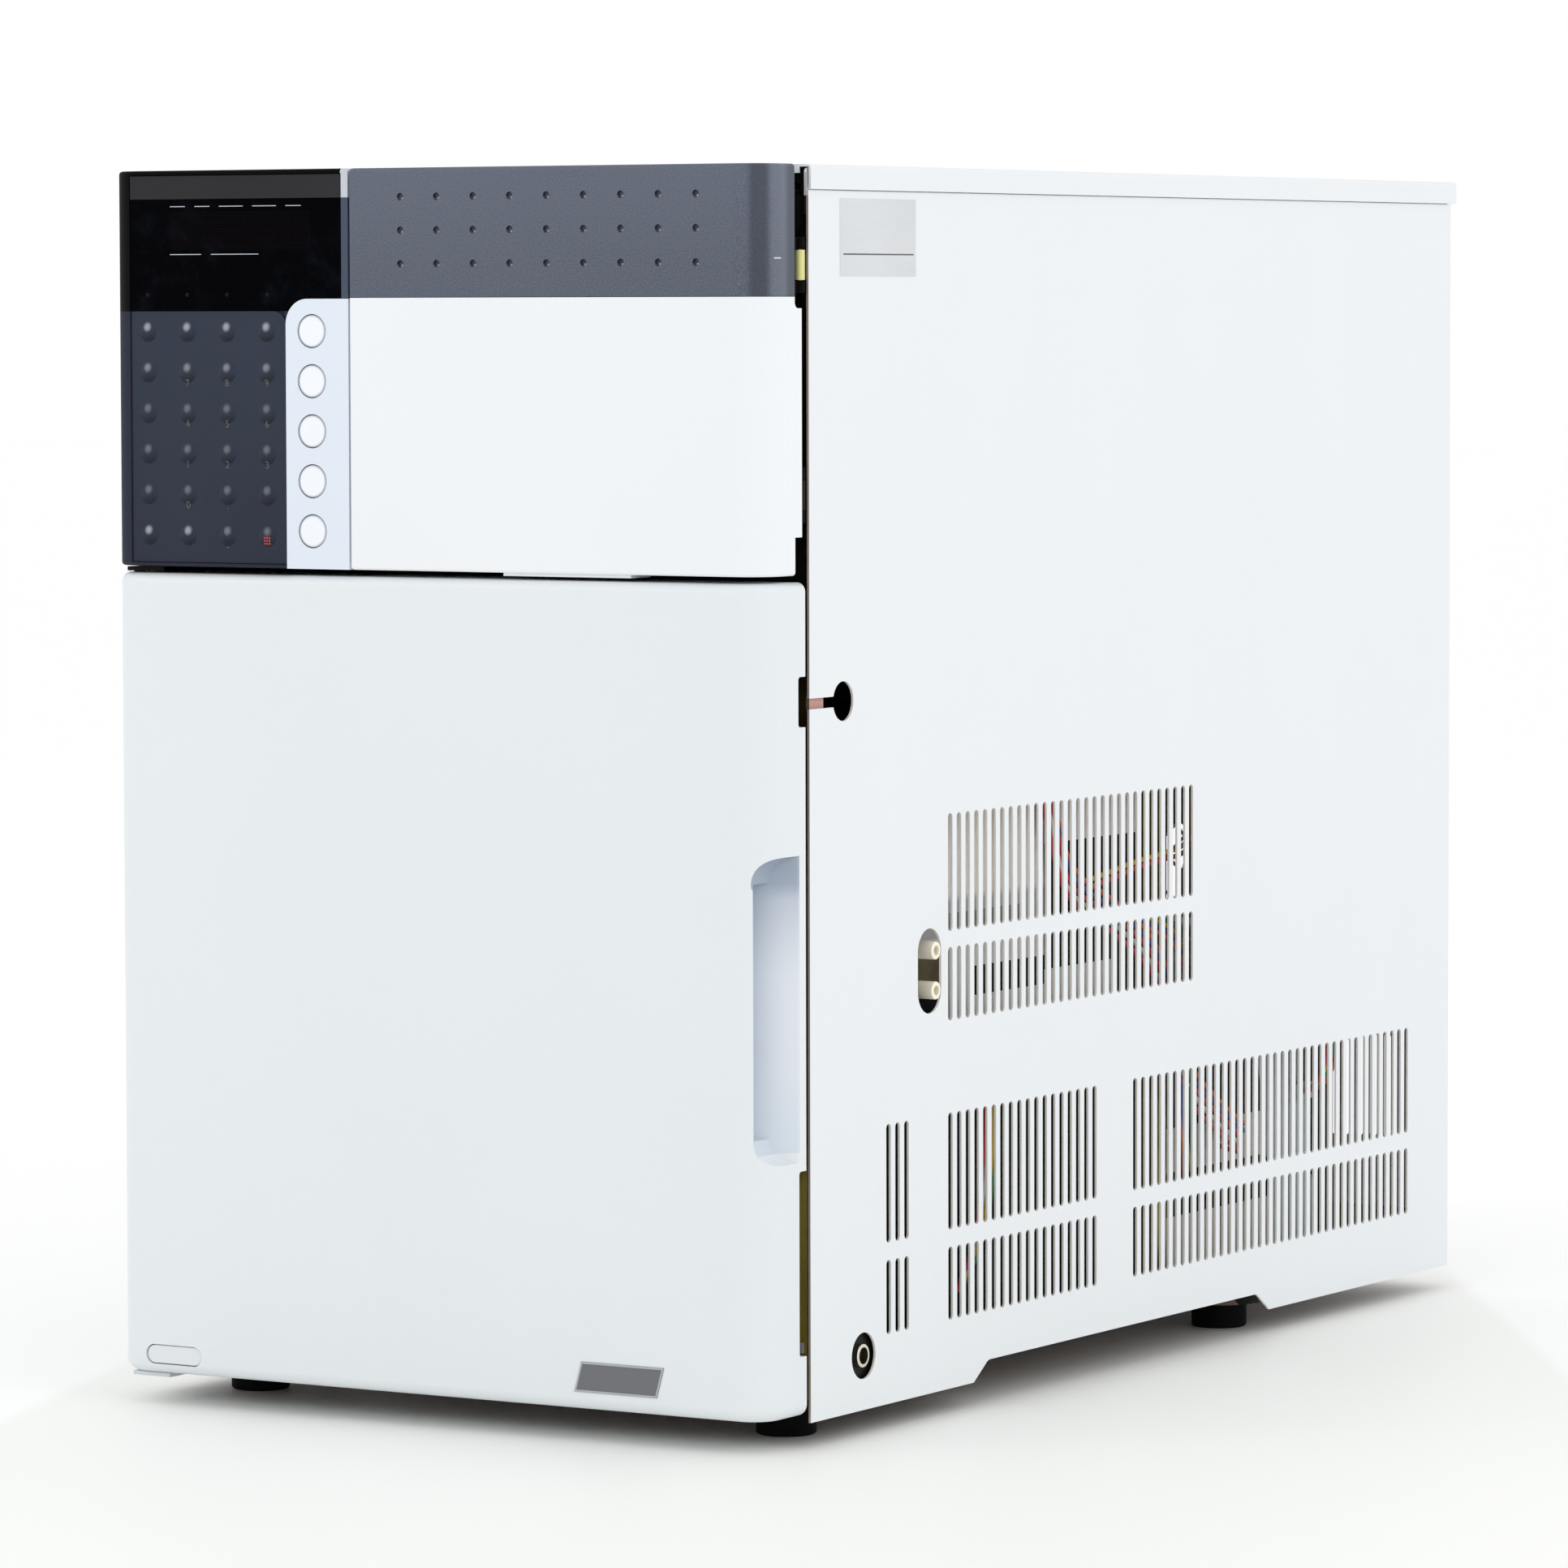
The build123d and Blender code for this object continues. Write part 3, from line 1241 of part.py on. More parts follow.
# Chamber liner: a white box, open in front
with BuildPart() as chamber_liner:
    block((-liner_x, liner_x), (frame_rear_y, liner_rear_y), (liner_bottom_z, liner_top_z))
    block((-chamber_half_width, chamber_half_width), (frame_rear_y - cut_overrun, chamber_rear_y),
          (chamber_floor_z, chamber_ceiling_z), Mode.SUBTRACT)
finish(chamber_liner, "chamber_liner")

# Insulation round the liner, cut for the heat sink's neck, the pan's front lip and the power switch
switch_room_z = power_switch_height / 2 + sheet_gap
with BuildPart() as chamber_insulation:
    block((-insulation_x, insulation_x), (frame_rear_y, insulation_rear_y),
          (pan_top_z + liner_gap, deck_z - liner_gap))
    block((insulation_x - cut_overrun, foam_pad_x), (frame_rear_y, foam_pad_rear_y),
          (keyhole_z - foam_pad_height / 2, keyhole_z + foam_pad_height / 2))
    block((-liner_x - liner_gap, liner_x + liner_gap), (frame_rear_y - cut_overrun, liner_rear_y + liner_gap),
          (liner_bottom_z - liner_gap, liner_top_z + liner_gap), Mode.SUBTRACT)
    block((-neck_cut, neck_cut), (chamber_rear_y, insulation_rear_y + cut_overrun),
          (sink_middle_z - neck_cut, sink_middle_z + neck_cut), Mode.SUBTRACT)
    block((-insulation_x - cut_overrun, insulation_x + cut_overrun),
          (frame_rear_y - cut_overrun, switch_front_y),
          (pan_bottom_z, pan_bottom_z + pan_lip_height + liner_gap), Mode.SUBTRACT)
    block((-insulation_x - cut_overrun, power_x + power_switch_half_width + sheet_gap),
          (frame_rear_y - cut_overrun, switch_front_y + power_switch_depth + sheet_gap),
          (power_stem_z - switch_room_z, power_stem_z + switch_room_z), Mode.SUBTRACT)
finish(chamber_insulation, "chamber_insulation")

# Sample tray: a shallow pan with a grip lip in front
tray_x = (tray_left_x, tray_right_x)
tray_y = (tray_front_y, tray_rear_y)
tray_bottom_z = chamber_floor_z + running_gap
tray_middle_x = (tray_left_x + tray_right_x) / 2
with BuildPart() as rack_tray:
    block(tray_x, tray_y, (tray_bottom_z, tray_bottom_z + tray_side_height))
    block((tray_left_x + tray_sheet, tray_right_x - tray_sheet),
          (tray_front_y + tray_sheet, tray_rear_y - tray_sheet),
          (tray_bottom_z + tray_sheet, tray_bottom_z + tray_side_height + cut_overrun), Mode.SUBTRACT)
    lip_top_z = tray_bottom_z + tray_side_height
    with BuildSketch(Plane.XY.offset(lip_top_z - tray_sheet)):
        with Locations((tray_middle_x, tray_front_y - tray_grip_reach / 2)):
            Rectangle(2 * tray_grip_half_width, tray_grip_reach)
        fillet(vertices().group_by(Axis.Y)[0], tray_grip_reach / 2)
        with Locations((tray_middle_x, tray_front_y - tray_grip_reach / 2)):
            SlotOverall(2 * tray_grip_half_width - 2 * tray_grip_reach, tray_grip_hole, mode=Mode.SUBTRACT)
    extrude(amount=tray_sheet)
    fillet(edges().filter_by(Axis.Z).group_by(Axis.Y)[-1], edge_softening)
finish(rack_tray, "rack_tray")

# Vial rack with a square array of wells
rack_x = (tray_left_x + tray_sheet + rack_margin, tray_right_x - tray_sheet - rack_margin)
rack_y = (tray_front_y + tray_sheet + rack_margin, tray_rear_y - tray_sheet - rack_margin)
rack_bottom_z = tray_bottom_z + tray_sheet + running_gap
rack_middle = ((rack_x[0] + rack_x[1]) / 2, (rack_y[0] + rack_y[1]) / 2)
with BuildPart() as vial_rack:
    block(rack_x, rack_y, (rack_bottom_z, rack_bottom_z + rack_height))
    fillet(edges().filter_by(Axis.Z), rack_margin)
    chamfer(faces().sort_by(Axis.Z)[-1].edges(), edge_softening)
    with BuildSketch(Plane.XY.offset(rack_bottom_z + well_floor)):
        with Locations(rack_middle):
            with GridLocations(well_pitch, well_pitch, wells_across, wells_deep):
                Circle(well_radius)
    extrude(amount=rack_height, mode=Mode.SUBTRACT)
finish(vial_rack, "vial_rack")

# Sample vials: hollow glass, turned about their own axes
vial_bottom_z = rack_bottom_z + well_floor + liner_gap
vial_profile = [
    (0, 0),
    (vial_radius, 0),
    (vial_radius, vial_shoulder_height),
    (vial_neck_radius, vial_neck_height),
    (vial_neck_radius, vial_height),
    (vial_neck_radius - vial_wall, vial_height),
    (vial_neck_radius - vial_wall, vial_neck_height),
    (vial_radius - vial_wall, vial_shoulder_height - vial_wall),
    (vial_radius - vial_wall, vial_wall),
    (0, vial_wall),
]
with BuildPart() as single_vial:
    with BuildSketch(Plane.XZ):
        with BuildLine():
            Polyline(*vial_profile, close=True)
        make_face()
    revolve(axis=Axis.Z)
with BuildPart() as sample_vials:
    with Locations((rack_middle[0], rack_middle[1], vial_bottom_z)):
        with GridLocations(well_pitch, well_pitch, wells_across, wells_deep):
            add(single_vial.part)
finish(sample_vials, "sample_vials")

# Screw caps over the vials' necks
cap_bottom = vial_height + cap_gap + cap_top - cap_height
with BuildPart() as single_cap:
    Cylinder(cap_radius, cap_height, align=(Align.CENTER, Align.CENTER, Align.MIN))
    Cylinder(vial_neck_radius + cap_gap, cap_height - cap_top, align=(Align.CENTER, Align.CENTER, Align.MIN),
             mode=Mode.SUBTRACT)
    Cylinder(vial_neck_radius / 2, cap_height, align=(Align.CENTER, Align.CENTER, Align.MIN),
             mode=Mode.SUBTRACT)
with BuildPart() as vial_caps:
    with Locations((rack_middle[0], rack_middle[1], vial_bottom_z + cap_bottom)):
        with GridLocations(well_pitch, well_pitch, wells_across, wells_deep):
            add(single_cap.part)
finish(vial_caps, "vial_caps")

# Gantry rails: two rods hung from the chamber's ceiling
rail_rear_y = chamber_rear_y - running_gap
hanger_half_width = rail_radius + tray_sheet
with BuildPart() as gantry_rails:
    for side in (-1, 1):
        rail_x = side * rail_from_middle
        rod_y(rail_x, rail_z, rail_radius, (rail_front_y, rail_rear_y))
        for hanger_y in ((rail_front_y - tray_sheet, rail_front_y + hanger_half_width),
                         (rail_rear_y - hanger_half_width - tray_sheet, rail_rear_y)):
            block((rail_x - hanger_half_width, rail_x + hanger_half_width), hanger_y,
                  (rail_z - hanger_half_width, chamber_ceiling_z - running_gap))
finish(gantry_rails, "gantry_rails")

# Cross beam sliding on the rails, with a guide for the needle carriage
beam_y = (beam_front_y, beam_rear_y)
beam_middle_z = (beam_bottom_z + beam_top_z) / 2
beam_end_top_z = rail_z + rail_radius + beam_end_margin
with BuildPart() as cross_beam:
    block((-beam_half_width, beam_half_width), beam_y, (beam_bottom_z, beam_top_z))
    for side in (-1, 1):
        end_x = side * rail_from_middle
        block((end_x - beam_end_width / 2, end_x + beam_end_width / 2), beam_y,
              (beam_bottom_z, beam_end_top_z))
    fillet(edges().filter_by(Axis.Y), edge_softening)
    block((guide_left_x, beam_half_width), (beam_front_y - guide_depth, beam_front_y),
          (beam_middle_z - guide_height / 2, beam_middle_z + guide_height / 2))
    for side in (-1, 1):
        rod_y(side * rail_from_middle, rail_z, rail_radius + running_fit,
              (beam_front_y - cut_overrun, beam_rear_y + cut_overrun), Mode.SUBTRACT)
finish(cross_beam, "cross_beam")

# Needle carriage riding on the beam's guide, with an upright channel for the needle arm
slot_gap = 2 * running_fit
with BuildPart() as needle_carriage:
    block((needle_home_x - carriage_half_width, needle_home_x + carriage_half_width),
          (beam_front_y - carriage_depth, beam_front_y - running_gap), (carriage_bottom_z, carriage_top_z))
    fillet(edges().filter_by(Axis.Z).group_by(Axis.Y)[0], rack_margin)
    slot_reach = carriage_half_width + cut_overrun
    block((needle_home_x - slot_reach, needle_home_x + slot_reach),
          (beam_front_y - guide_depth - slot_gap, beam_front_y),
          (beam_middle_z - guide_height / 2 - slot_gap, beam_middle_z + guide_height / 2 + slot_gap),
          Mode.SUBTRACT)
    channel = post_width / 2 + slot_gap
    block((needle_home_x - channel, needle_home_x + channel),
          (needle_home_y - channel, needle_home_y + channel),
          (carriage_bottom_z - cut_overrun, carriage_top_z + cut_overrun), Mode.SUBTRACT)
finish(needle_carriage, "needle_carriage")

# Needle arm: a square post with the needle holder at its foot
holder_bottom_z = post_bottom_z - holder_height
with BuildPart() as needle_arm:
    block((needle_home_x - post_width / 2, needle_home_x + post_width / 2),
          (needle_home_y - post_width / 2, needle_home_y + post_width / 2), (post_bottom_z, post_top_z))
    block((needle_home_x - holder_width / 2, needle_home_x + holder_width / 2),
          (needle_home_y - holder_width / 2, needle_home_y + holder_width / 2),
          (holder_bottom_z, post_bottom_z))
    fillet(edges().filter_by(Axis.Z), edge_softening)
    rod_z(needle_home_x, needle_home_y, needle_radius + running_fit,
          (holder_bottom_z - cut_overrun, post_bottom_z), Mode.SUBTRACT)
finish(needle_arm, "needle_arm")

# Needle with a bevelled point
with BuildPart() as needle:
    rod_z(needle_home_x, needle_home_y, needle_radius, (needle_tip_z + 2 * needle_radius, post_bottom_z))
    with Locations((needle_home_x, needle_home_y, needle_tip_z + needle_radius)):
        Cone(needle_point_radius, needle_radius, 2 * needle_radius)
finish(needle, "needle")


def chamber_port(y, radius, bore_radius, top_z):
    """A turned port on a square flange on the chamber's floor."""
    bottom_z = chamber_floor_z + running_gap
    with BuildPart() as port:
        block((needle_home_x - port_flange / 2, needle_home_x + port_flange / 2),
              (y - port_flange / 2, y + port_flange / 2), (bottom_z, bottom_z + port_flange_thickness))
        fillet(edges().filter_by(Axis.Z), port_flange_thickness)
        rod_z(needle_home_x, y, radius, (bottom_z + port_flange_thickness, top_z))
        chamfer(edges().filter_by(GeomType.CIRCLE).group_by(Axis.Z)[-1], edge_softening)
        rod_z(needle_home_x, y, bore_radius, (bottom_z + port_flange_thickness, top_z + cut_overrun),
              Mode.SUBTRACT)
    return port


finish(chamber_port(needle_home_y, port_radius, port_bore_radius, port_top_z), "injection_port")
finish(chamber_port(rinse_port_y, rinse_port_radius, rinse_bore_radius, rinse_port_top_z), "rinse_port")


def pedestal(x, y_span, top_z):
    """A wall standing on the deck under a device."""
    block((x - pedestal_half_width, x + pedestal_half_width), y_span, (deck_top_z, top_z))
    block((x - pedestal_half_width - pedestal_thickness, x + pedestal_half_width + pedestal_thickness),
          y_span, (deck_top_z, deck_top_z + pedestal_thickness / 2))


# Injection valve: a round housing with six fittings, open behind for its rotor
rotor_front_y = valve_front_y + valve_face + running_gap
fluidics_top_z = fluidics_z + drive_half_width
fluidics_bottom_z = fluidics_z - drive_half_width
stand_front_y = frame_rear_y + sheet_gap
port_reach = valve_radius + port_fitting_length / 2
with BuildPart() as injection_valve:
    rod_y(valve_x, fluidics_z, valve_radius, (valve_front_y, valve_rear_y))
    fillet(edges().filter_by(GeomType.CIRCLE).group_by(Axis.Y)[0], edge_softening)
    pedestal(valve_x, (stand_front_y, valve_rear_y), fluidics_z - valve_radius + pedestal_thickness)
    for index in range(valve_ports):
        turn = valve_port_turn + index * 360 / valve_ports
        port_x = valve_x + port_reach * cos(radians(turn))
        port_z = fluidics_z + port_reach * sin(radians(turn))
        with Locations(Location((port_x, fittings_y, port_z), (0, 90 - turn, 0))):
            Cylinder(port_fitting_radius, port_fitting_length + cut_overrun)
    rod_y(valve_x, fluidics_z, rotor_radius + running_gap,
          (rotor_front_y - running_gap, valve_rear_y + cut_overrun), Mode.SUBTRACT)
finish(injection_valve, "injection_valve")

# Valve rotor and its shaft
with BuildPart() as valve_rotor:
    rod_y(valve_x, fluidics_z, rotor_radius, (rotor_front_y, rotor_front_y + rotor_thickness))
    rod_y(valve_x, fluidics_z, rotor_shaft_radius,
          (rotor_front_y, drive_front_y + drive_socket_depth - running_gap))
finish(valve_rotor, "valve_rotor")

# Valve drive: a geared motor with a socket for the rotor's shaft
with BuildPart() as valve_drive:
    block((valve_x - drive_half_width, valve_x + drive_half_width), (drive_front_y, drive_rear_y),
          (fluidics_bottom_z, fluidics_top_z))
    fillet(edges().filter_by(Axis.Y), edge_softening)
    pedestal(valve_x, (drive_front_y, drive_rear_y), fluidics_bottom_z + pedestal_thickness)
    rod_y(valve_x, fluidics_z, rotor_shaft_radius + running_fit,
          (drive_front_y - cut_overrun, drive_front_y + drive_socket_depth), Mode.SUBTRACT)
finish(valve_drive, "valve_drive")

# Measuring pump head with its bore and two fittings
pump_top_z = fluidics_z + pump_half_width
fitting_top_z = pump_top_z + port_fitting_length
fitting_left_x = pump_x - pump_half_width - port_fitting_length
with BuildPart() as measuring_pump:
    block((pump_x - pump_half_width, pump_x + pump_half_width), (pump_front_y, pump_rear_y),
          (fluidics_z - pump_half_width, pump_top_z))
    fillet(edges().filter_by(Axis.Y), edge_softening)
    pedestal(pump_x, (stand_front_y, pump_rear_y), fluidics_z - pump_half_width + pedestal_thickness)
    rod_z(pump_x, fittings_y, port_fitting_radius, (pump_top_z - cut_overrun, fitting_top_z))
    rod_x(fittings_y, fluidics_z, port_fitting_radius,
          (fitting_left_x, pump_x - pump_half_width + cut_overrun))
    rod_y(pump_x, fluidics_z, plunger_radius,
          (plunger_front_y - plunger_stroke - plunger_overtravel, pump_rear_y + cut_overrun), Mode.SUBTRACT)
finish(measuring_pump, "measuring_pump")

# Pump plunger, its crosshead and push rod
crosshead_rear_y = crosshead_front_y + crosshead_thickness
guide_rod_xs = (pump_x - guide_rod_spread, pump_x + guide_rod_spread)
with BuildPart() as pump_plunger:
    rod_y(pump_x, fluidics_z, plunger_radius - plunger_fit, (plunger_front_y, crosshead_front_y))
    block((pump_x - crosshead_half_width, pump_x + crosshead_half_width),
          (crosshead_front_y, crosshead_rear_y),
          (fluidics_z - crosshead_half_width, fluidics_z + crosshead_half_width))
    fillet(edges().filter_by(Axis.Y), edge_softening)
    rod_y(pump_x, fluidics_z, push_rod_radius, (crosshead_rear_y, push_rod_rear_y))
    for x in guide_rod_xs:
        rod_y(x, fluidics_z, guide_rod_radius + running_fit,
              (crosshead_front_y - cut_overrun, crosshead_rear_y + cut_overrun), Mode.SUBTRACT)
finish(pump_plunger, "pump_plunger")

# Pump drive with two guide rods and a bore for the push rod
with BuildPart() as pump_drive:
    block((pump_x - drive_half_width, pump_x + drive_half_width), (pump_drive_front_y, pump_drive_rear_y),
          (fluidics_bottom_z, fluidics_top_z))
    fillet(edges().filter_by(Axis.Y), edge_softening)
    pedestal(pump_x, (pump_drive_front_y, pump_drive_rear_y), fluidics_bottom_z + pedestal_thickness)
    for x in guide_rod_xs:
        rod_y(x, fluidics_z, guide_rod_radius, (guide_rod_front_y, pump_drive_front_y))
    rod_y(pump_x, fluidics_z, push_rod_radius + running_fit,
          (pump_drive_front_y - cut_overrun, push_rod_rear_y + plunger_overtravel), Mode.SUBTRACT)
finish(pump_drive, "pump_drive")

# Steel tubes: pump to valve, valve bottom to a side fitting, and pump down through the frame
valve_fitting = valve_radius + port_fitting_length + cut_overrun / 2
tube_top_z = fluidics_z + valve_radius + pump_half_width
tube_low_z = fluidics_z - valve_radius - pump_half_width
slant = radians(-valve_port_turn)
elbow_x = valve_x + tube_elbow_reach * cos(slant)
elbow_z = fluidics_z + tube_elbow_reach * sin(slant)
drop_x = fitting_left_x - tube_bend - cut_overrun
tube_runs = (
    (
        (pump_x, fittings_y, fitting_top_z),
        (pump_x, fittings_y, tube_top_z),
        (valve_x, fittings_y, tube_top_z),
        (valve_x, fittings_y, fluidics_z + valve_fitting),
    ),
    (
        (valve_x, fittings_y, fluidics_z - valve_fitting),
        (valve_x, fittings_y, tube_low_z),
        (elbow_x, fittings_y, tube_low_z),
        (elbow_x, fittings_y, elbow_z),
        (valve_x + valve_fitting * cos(slant), fittings_y, fluidics_z + valve_fitting * sin(slant)),
    ),
    (
        (fitting_left_x, fittings_y, fluidics_z),
        (drop_x, fittings_y, fluidics_z),
        (drop_x, fittings_y, tube_low_z),
        (drop_x, valve_rear_y - tube_bend, tube_low_z),
        (drop_x, valve_rear_y - tube_bend, deck_top_z + sheet_gap),
    ),
)
with BuildPart() as steel_tubing:
    for run in tube_runs:
        tube(run, tube_radius, tube_bend)
finish(steel_tubing, "steel_tubing")

# Heat sink behind the bulkhead, with its neck on the chamber liner
sink_y = bulkhead_y + frame_sheet + liner_gap
fin_pitch = (2 * sink_half_width - sink_fin_thickness) / (sink_fins - 1)
with BuildPart() as heat_sink:
    block((-sink_half_width, sink_half_width), (sink_y, sink_y + sink_base), (sink_bottom_z, sink_top_z))
    block((-sink_neck_half_width, sink_neck_half_width), (liner_rear_y, sink_y),
          (sink_middle_z - sink_neck_half_width, sink_middle_z + sink_neck_half_width))
    for index in range(sink_fins):
        fin_x = -sink_half_width + index * fin_pitch
        block((fin_x, fin_x + sink_fin_thickness), (sink_y + sink_base, sink_y + sink_reach),
              (sink_bottom_z, sink_top_z))
finish(heat_sink, "heat_sink")

# Fan frame on the rear panel, with struts to the hub plate and a fixed shaft
fan_y = (rear_panel_y - liner_gap - fan_depth, rear_panel_y - liner_gap)
fan_x_span = (fan_x - fan_size / 2, fan_x + fan_size / 2)
fan_z_span = (fan_z - fan_size / 2, fan_z + fan_size / 2)
rotor_y = (fan_y[0] + fan_hub_plate + running_gap, fan_y[0] + fan_hub_plate + running_gap + fan_rotor_depth)
with BuildPart() as fan_frame:
    block(fan_x_span, fan_y, fan_z_span)
    fillet(edges().filter_by(Axis.Y), guard_foot_radius)
    rod_y(fan_x, fan_z, fan_bore_radius, (fan_y[0] - cut_overrun, fan_y[1] + cut_overrun), Mode.SUBTRACT)
    rod_y(fan_x, fan_z, fan_hub_radius, (fan_y[0], fan_y[0] + fan_hub_plate))
    for angle in diagonal_angles:
        with Locations(Location((fan_x, fan_y[0] + fan_hub_plate / 2, fan_z), (0, angle, 0))):
            Box(2 * fan_bore_radius + fan_strut, fan_hub_plate, fan_strut)
    rod_y(fan_x, fan_z, fan_shaft_radius, (fan_y[0], rotor_y[1]))
    for x in (-1, 1):
        for z in (-1, 1):
            rod_y(fan_x + x * fan_screw_pitch / 2, fan_z + z * fan_screw_pitch / 2, fan_shaft_radius,
                  (fan_y[0] - cut_overrun, fan_y[1] + cut_overrun), Mode.SUBTRACT)
finish(fan_frame, "fan_frame")

# Fan rotor: a hub with pitched blades
blade_length = fan_blade_radius - fan_hub_radius + fan_strut
rotor_middle = (fan_x, (rotor_y[0] + rotor_y[1]) / 2, fan_z)
with BuildPart() as fan_rotor:
    rod_y(fan_x, fan_z, fan_hub_radius, rotor_y)
    fillet(edges().filter_by(GeomType.CIRCLE).group_by(Axis.Y)[-1], edge_softening)
    for index in range(fan_blades):
        with Locations(Location(rotor_middle, (0, index * 360 / fan_blades, 0))):
            with Locations(Location((fan_blade_radius - blade_length / 2, 0, 0), (fan_blade_pitch, 0, 0))):
                Box(blade_length, fan_chord, fan_blade_thickness)
    rod_y(fan_x, fan_z, fan_shaft_radius + running_fit, (rotor_y[0] - cut_overrun, rotor_y[1] + cut_overrun),
          Mode.SUBTRACT)
finish(fan_rotor, "fan_rotor")

# Fan guard: wire rings on two diagonal bars, screwed on at its four feet
bar_y = casing_rear_y + guard_bar_lift + guard_wire_radius
ring_y = bar_y + guard_ring_lift
with BuildPart() as fan_guard:
    for index in range(guard_rings):
        with Locations(Location((fan_x, ring_y, fan_z), (90, 0, 0))):
            Torus(guard_first_ring + index * guard_ring_pitch, guard_wire_radius)
    for angle in diagonal_angles:
        with Locations(Location((fan_x, bar_y, fan_z), (0, angle, 0))):
            Cylinder(guard_wire_radius, fan_screw_pitch * sqrt(2))
    for x in (-1, 1):
        for z in (-1, 1):
            rod_y(fan_x + x * fan_screw_pitch / 2, fan_z + z * fan_screw_pitch / 2, guard_foot_radius,
                  (casing_rear_y, bar_y + guard_wire_radius))
finish(fan_guard, "fan_guard")

# Power supply: a slotted case with terminal blocks on its right side
supply_z = (pan_top_z + liner_gap, pan_top_z + liner_gap + supply_height)
supply_middle_y = (supply_front_y + supply_rear_y) / 2
loom_span = (loom_wires - 1) * wire_spacing
with BuildPart() as power_supply:
    block((supply_left_x, supply_right_x), (supply_front_y, supply_rear_y), supply_z)
    for index in range(supply_slots):
        low_y = supply_middle_y + (index - (supply_slots - 1) / 2) * supply_slot_pitch
        slot_y = (low_y, low_y + supply_slot_width)
        block((supply_right_x - supply_slot_depth, supply_right_x + cut_overrun), slot_y,
              (supply_z[0] + supply_slot_foot, supply_z[1]), Mode.SUBTRACT)
        block((supply_left_x - cut_overrun, supply_right_x + cut_overrun), slot_y,
              (supply_z[1] - supply_slot_depth, supply_z[1] + cut_overrun), Mode.SUBTRACT)
    block((supply_right_x - supply_slot_depth, supply_right_x + terminal_reach),
          (loom_supply_y - terminal_margin, loom_supply_y + terminal_margin),
          (loom_supply_z - terminal_margin, loom_supply_z + loom_span + terminal_margin))
    block((supply_right_x - supply_slot_depth, supply_right_x + terminal_reach),
          (board_loom_y - terminal_margin, board_loom_y + loom_span + terminal_margin),
          (board_loom_z - terminal_margin, board_loom_z + terminal_margin))
finish(power_supply, "power_supply")

# Main board on standoffs, with chips, capacitors and the looms' plugs
main_board_bottom_z = deck_top_z + main_board_lift
main_board_top_z = main_board_bottom_z + board_thickness
board_plug_x = (main_board_half_width - board_plug_depth, main_board_half_width)
board_plug_zs = (main_board_top_z, main_board_top_z + board_plug_height)
chip_shares = (
    (-0.62, 0.18, 0.16, 0.12),
    (-0.1, 0.36, 0.2, 0.16),
    (0.42, 0.2, 0.14, 0.1),
    (0.3, 0.72, 0.24, 0.08),
)
capacitor_shares = ((-0.7, 0.62), (-0.56, 0.62), (-0.42, 0.62), (-0.28, 0.62))
board_length = main_board_rear_y - main_board_front_y
with BuildPart() as main_board:
    block((-main_board_half_width, main_board_half_width), (main_board_front_y, main_board_rear_y),
          (main_board_bottom_z, main_board_top_z))
    for x_share, y_share, width_share, depth_share in chip_shares:
        chip_x = x_share * main_board_half_width
        chip_y = main_board_front_y + y_share * board_length
        block((chip_x, chip_x + width_share * 2 * main_board_half_width),
              (chip_y, chip_y + depth_share * board_length),
              (main_board_top_z, main_board_top_z + chip_height))
    for x_share, y_share in capacitor_shares:
        rod_z(x_share * main_board_half_width, main_board_front_y + y_share * board_length,
              capacitor_radius, (main_board_top_z, main_board_top_z + capacitor_height))
    block(board_plug_x, (board_loom_y - terminal_margin, board_loom_y + loom_span + terminal_margin),
          board_plug_zs)
    block((console_loom_x - terminal_margin, console_loom_x + loom_span + terminal_margin),
          (main_board_front_y, main_board_front_y + board_plug_depth), board_plug_zs)
    for x in (-main_board_half_width + standoff_inset, main_board_half_width - standoff_inset):
        for y in (main_board_front_y + standoff_inset, main_board_rear_y - standoff_inset):
            rod_z(x, y, standoff_radius, (deck_top_z, main_board_bottom_z))
finish(main_board, "main_board")

# Mains inlet: a flanged body with a socket and three flat pins
inlet_rear_y = casing_rear_y + inlet_flange
inlet_floor_y = inlet_rear_y - inlet_socket_depth
with BuildPart() as power_inlet:
    block((inlet_x - inlet_flange_width / 2, inlet_x + inlet_flange_width / 2), (casing_rear_y, inlet_rear_y),
          (inlet_z - inlet_flange_height / 2, inlet_z + inlet_flange_height / 2))
    fillet(edges().filter_by(Axis.Y), inlet_flange)
    block((inlet_x - inlet_body_width / 2, inlet_x + inlet_body_width / 2),
          (casing_rear_y - inlet_body_depth, casing_rear_y),
          (inlet_z - inlet_body_height / 2, inlet_z + inlet_body_height / 2))
    block((inlet_x - inlet_socket_width / 2, inlet_x + inlet_socket_width / 2),
          (inlet_floor_y, inlet_rear_y + cut_overrun),
          (inlet_z - inlet_socket_height / 2, inlet_z + inlet_socket_height / 2), Mode.SUBTRACT)
    for step, lift in ((-1, -inlet_pin_lift), (0, inlet_pin_lift), (1, -inlet_pin_lift)):
        pin_x = inlet_x + step * inlet_pin_spread
        block((pin_x - inlet_pin_thickness / 2, pin_x + inlet_pin_thickness / 2),
              (inlet_floor_y, inlet_floor_y + inlet_pin_length),
              (inlet_z + lift - inlet_pin_width / 2, inlet_z + lift + inlet_pin_width / 2))
finish(power_inlet, "power_inlet")

